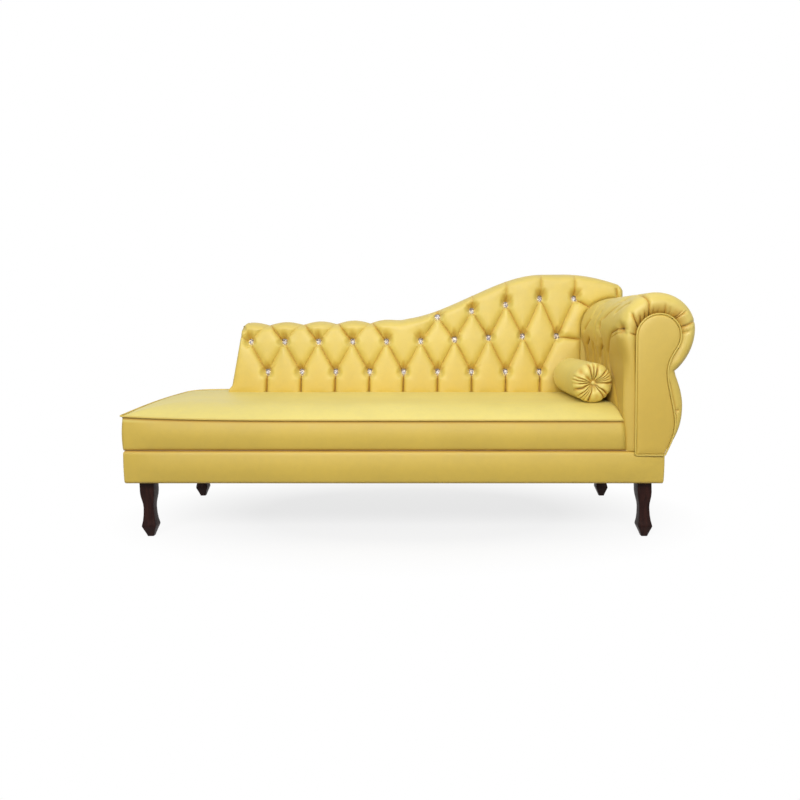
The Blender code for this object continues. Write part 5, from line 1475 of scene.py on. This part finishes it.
def build_stage():
    """Floor, white backdrop, three lights and the camera that was fitted to the picture."""
    scene = bpy.context.scene
    build_floor()

    world = bpy.data.worlds.new("studio")
    world.use_nodes = True
    tree = world.node_tree
    studio = feed(tree, tree.nodes["Background"], {"Color": (1.0, 0.99, 0.97, 1.0), "Strength": 0.25})
    backdrop = add_node(tree, "Background", {"Color": WHITE})
    mix_to_output(tree, seen_rays(tree)[1], studio, backdrop, "World Output")
    scene.world = world

    for name, place, aim, size, height, spread, power, tint in (
        ("key_light", (-0.4, -3.0, 2.3), (0.0, 0.2, 0.95), 3.6, 1.2, 100.0, 44.0, (1.0, 0.99, 0.97)),
        ("top_light", (0.1, 0.2, 3.0), (0.0, 0.0, 0.4), 2.4, 1.6, 170.0, 12.0, (1.0, 1.0, 0.98)),
        ("fill_light", (2.6, -2.6, 1.6), (0.3, 0.0, 0.5), 1.8, 1.8, 170.0, 8.0, (0.98, 0.99, 1.0)),
    ):
        light = bpy.data.lights.new(name, "AREA")
        light.shape = "RECTANGLE"
        light.size, light.size_y = size, height
        light.spread = math.radians(spread)
        light.energy, light.color = power, tint
        lamp = place_in_scene(name, light)
        lamp.location = place
        lamp.rotation_euler = (Vector(aim) - Vector(place)).to_track_quat("-Z", "Y").to_euler()

    camera = bpy.data.cameras.new("camera")
    camera.lens, camera.sensor_width, camera.shift_x = 31.17, 36.0, -0.0275
    eye = place_in_scene("camera", camera)
    eye.location = (0.0465, FRONT - 2.2165, 0.6995)
    eye.rotation_euler = (math.radians(90 - 6.08), 0, 0)
    scene.camera = eye
    scene.view_settings.view_transform = "Standard"


# Operators
class RECAMIER_OT_back(bpy.types.Operator):
    """Build the buttoned back and the cloth on its rear side"""

    bl_idname = "recamier.back"
    bl_label = "Buttoned back"

    def execute(self, context):
        build_back_pad()
        build_back_outside()
        return {"FINISHED"}


class RECAMIER_OT_seat(bpy.types.Operator):
    """Build the boxed seat with its piping"""

    bl_idname = "recamier.seat"
    bl_label = "Seat"

    def execute(self, context):
        build_seat_pad()
        build_seat_welt()
        return {"FINISHED"}


class RECAMIER_OT_base(bpy.types.Operator):
    """Build the upholstered band round the base"""

    bl_idname = "recamier.base"
    bl_label = "Base band"

    def execute(self, context):
        build_base_cover()
        return {"FINISHED"}


class RECAMIER_OT_arm(bpy.types.Operator):
    """Build the pleated arm and its keyhole facing"""

    bl_idname = "recamier.arm"
    bl_label = "Arm"

    def execute(self, context):
        build_arm_pad()
        build_arm_facing()
        return {"FINISHED"}


class RECAMIER_OT_bolster(bpy.types.Operator):
    """Build the loose bolster"""

    bl_idname = "recamier.bolster"
    bl_label = "Bolster"

    def execute(self, context):
        build_bolster()
        return {"FINISHED"}


class RECAMIER_OT_legs(bpy.types.Operator):
    """Build the four carved legs"""

    bl_idname = "recamier.legs"
    bl_label = "Legs"

    def execute(self, context):
        build_legs()
        return {"FINISHED"}


class RECAMIER_OT_crystals(bpy.types.Operator):
    """Build the crystal buttons"""

    bl_idname = "recamier.crystals"
    bl_label = "Crystals"

    def execute(self, context):
        build_crystals()
        return {"FINISHED"}


class RECAMIER_OT_frame(bpy.types.Operator):
    """Give the timber frame and the dust cloth their materials"""

    bl_idname = "recamier.frame"
    bl_label = "Frame finishes"

    def execute(self, context):
        finish_frame()
        return {"FINISHED"}


class RECAMIER_OT_stage(bpy.types.Operator):
    """Build the floor, backdrop, lights and camera"""

    bl_idname = "recamier.stage"
    bl_label = "Stage"

    def execute(self, context):
        build_stage()
        return {"FINISHED"}


class RECAMIER_PT_panel(bpy.types.Panel):
    """Sizes, colours and builders of the recamier"""

    bl_label = "Recamier"
    bl_idname = "RECAMIER_PT_panel"
    bl_space_type = "VIEW_3D"
    bl_region_type = "UI"
    bl_category = "Recamier"

    def draw(self, context):
        layout = self.layout
        given = settings()
        for group in (given.cloth, given.tuft, given.seat, given.wood, given.bolster):
            box = layout.box()
            for name in group.bl_rna.properties.keys():
                if name not in ("rna_type", "name"):
                    box.prop(group, name)
        for operator in OPERATORS:
            layout.operator(operator.bl_idname)


OPERATORS = (
    RECAMIER_OT_back,
    RECAMIER_OT_seat,
    RECAMIER_OT_base,
    RECAMIER_OT_arm,
    RECAMIER_OT_bolster,
    RECAMIER_OT_legs,
    RECAMIER_OT_crystals,
    RECAMIER_OT_frame,
    RECAMIER_OT_stage,
)
CLASSES = (
    RecamierClothSettings,
    RecamierTuftSettings,
    RecamierSeatSettings,
    RecamierWoodSettings,
    RecamierBolsterSettings,
    RecamierSettings,
    *OPERATORS,
    RECAMIER_PT_panel,
)


def register():
    for cls in CLASSES:
        bpy.utils.register_class(cls)
    bpy.types.Scene.recamier = PointerProperty(type=RecamierSettings)


def unregister():
    del bpy.types.Scene.recamier
    for cls in reversed(CLASSES):
        bpy.utils.unregister_class(cls)


def main():
    register()
    bpy.ops.recamier.back()
    bpy.ops.recamier.seat()
    bpy.ops.recamier.base()
    bpy.ops.recamier.arm()
    bpy.ops.recamier.bolster()
    bpy.ops.recamier.legs()
    bpy.ops.recamier.crystals()
    bpy.ops.recamier.frame()
    bpy.ops.recamier.stage()


if __name__ == "__main__":
    main()
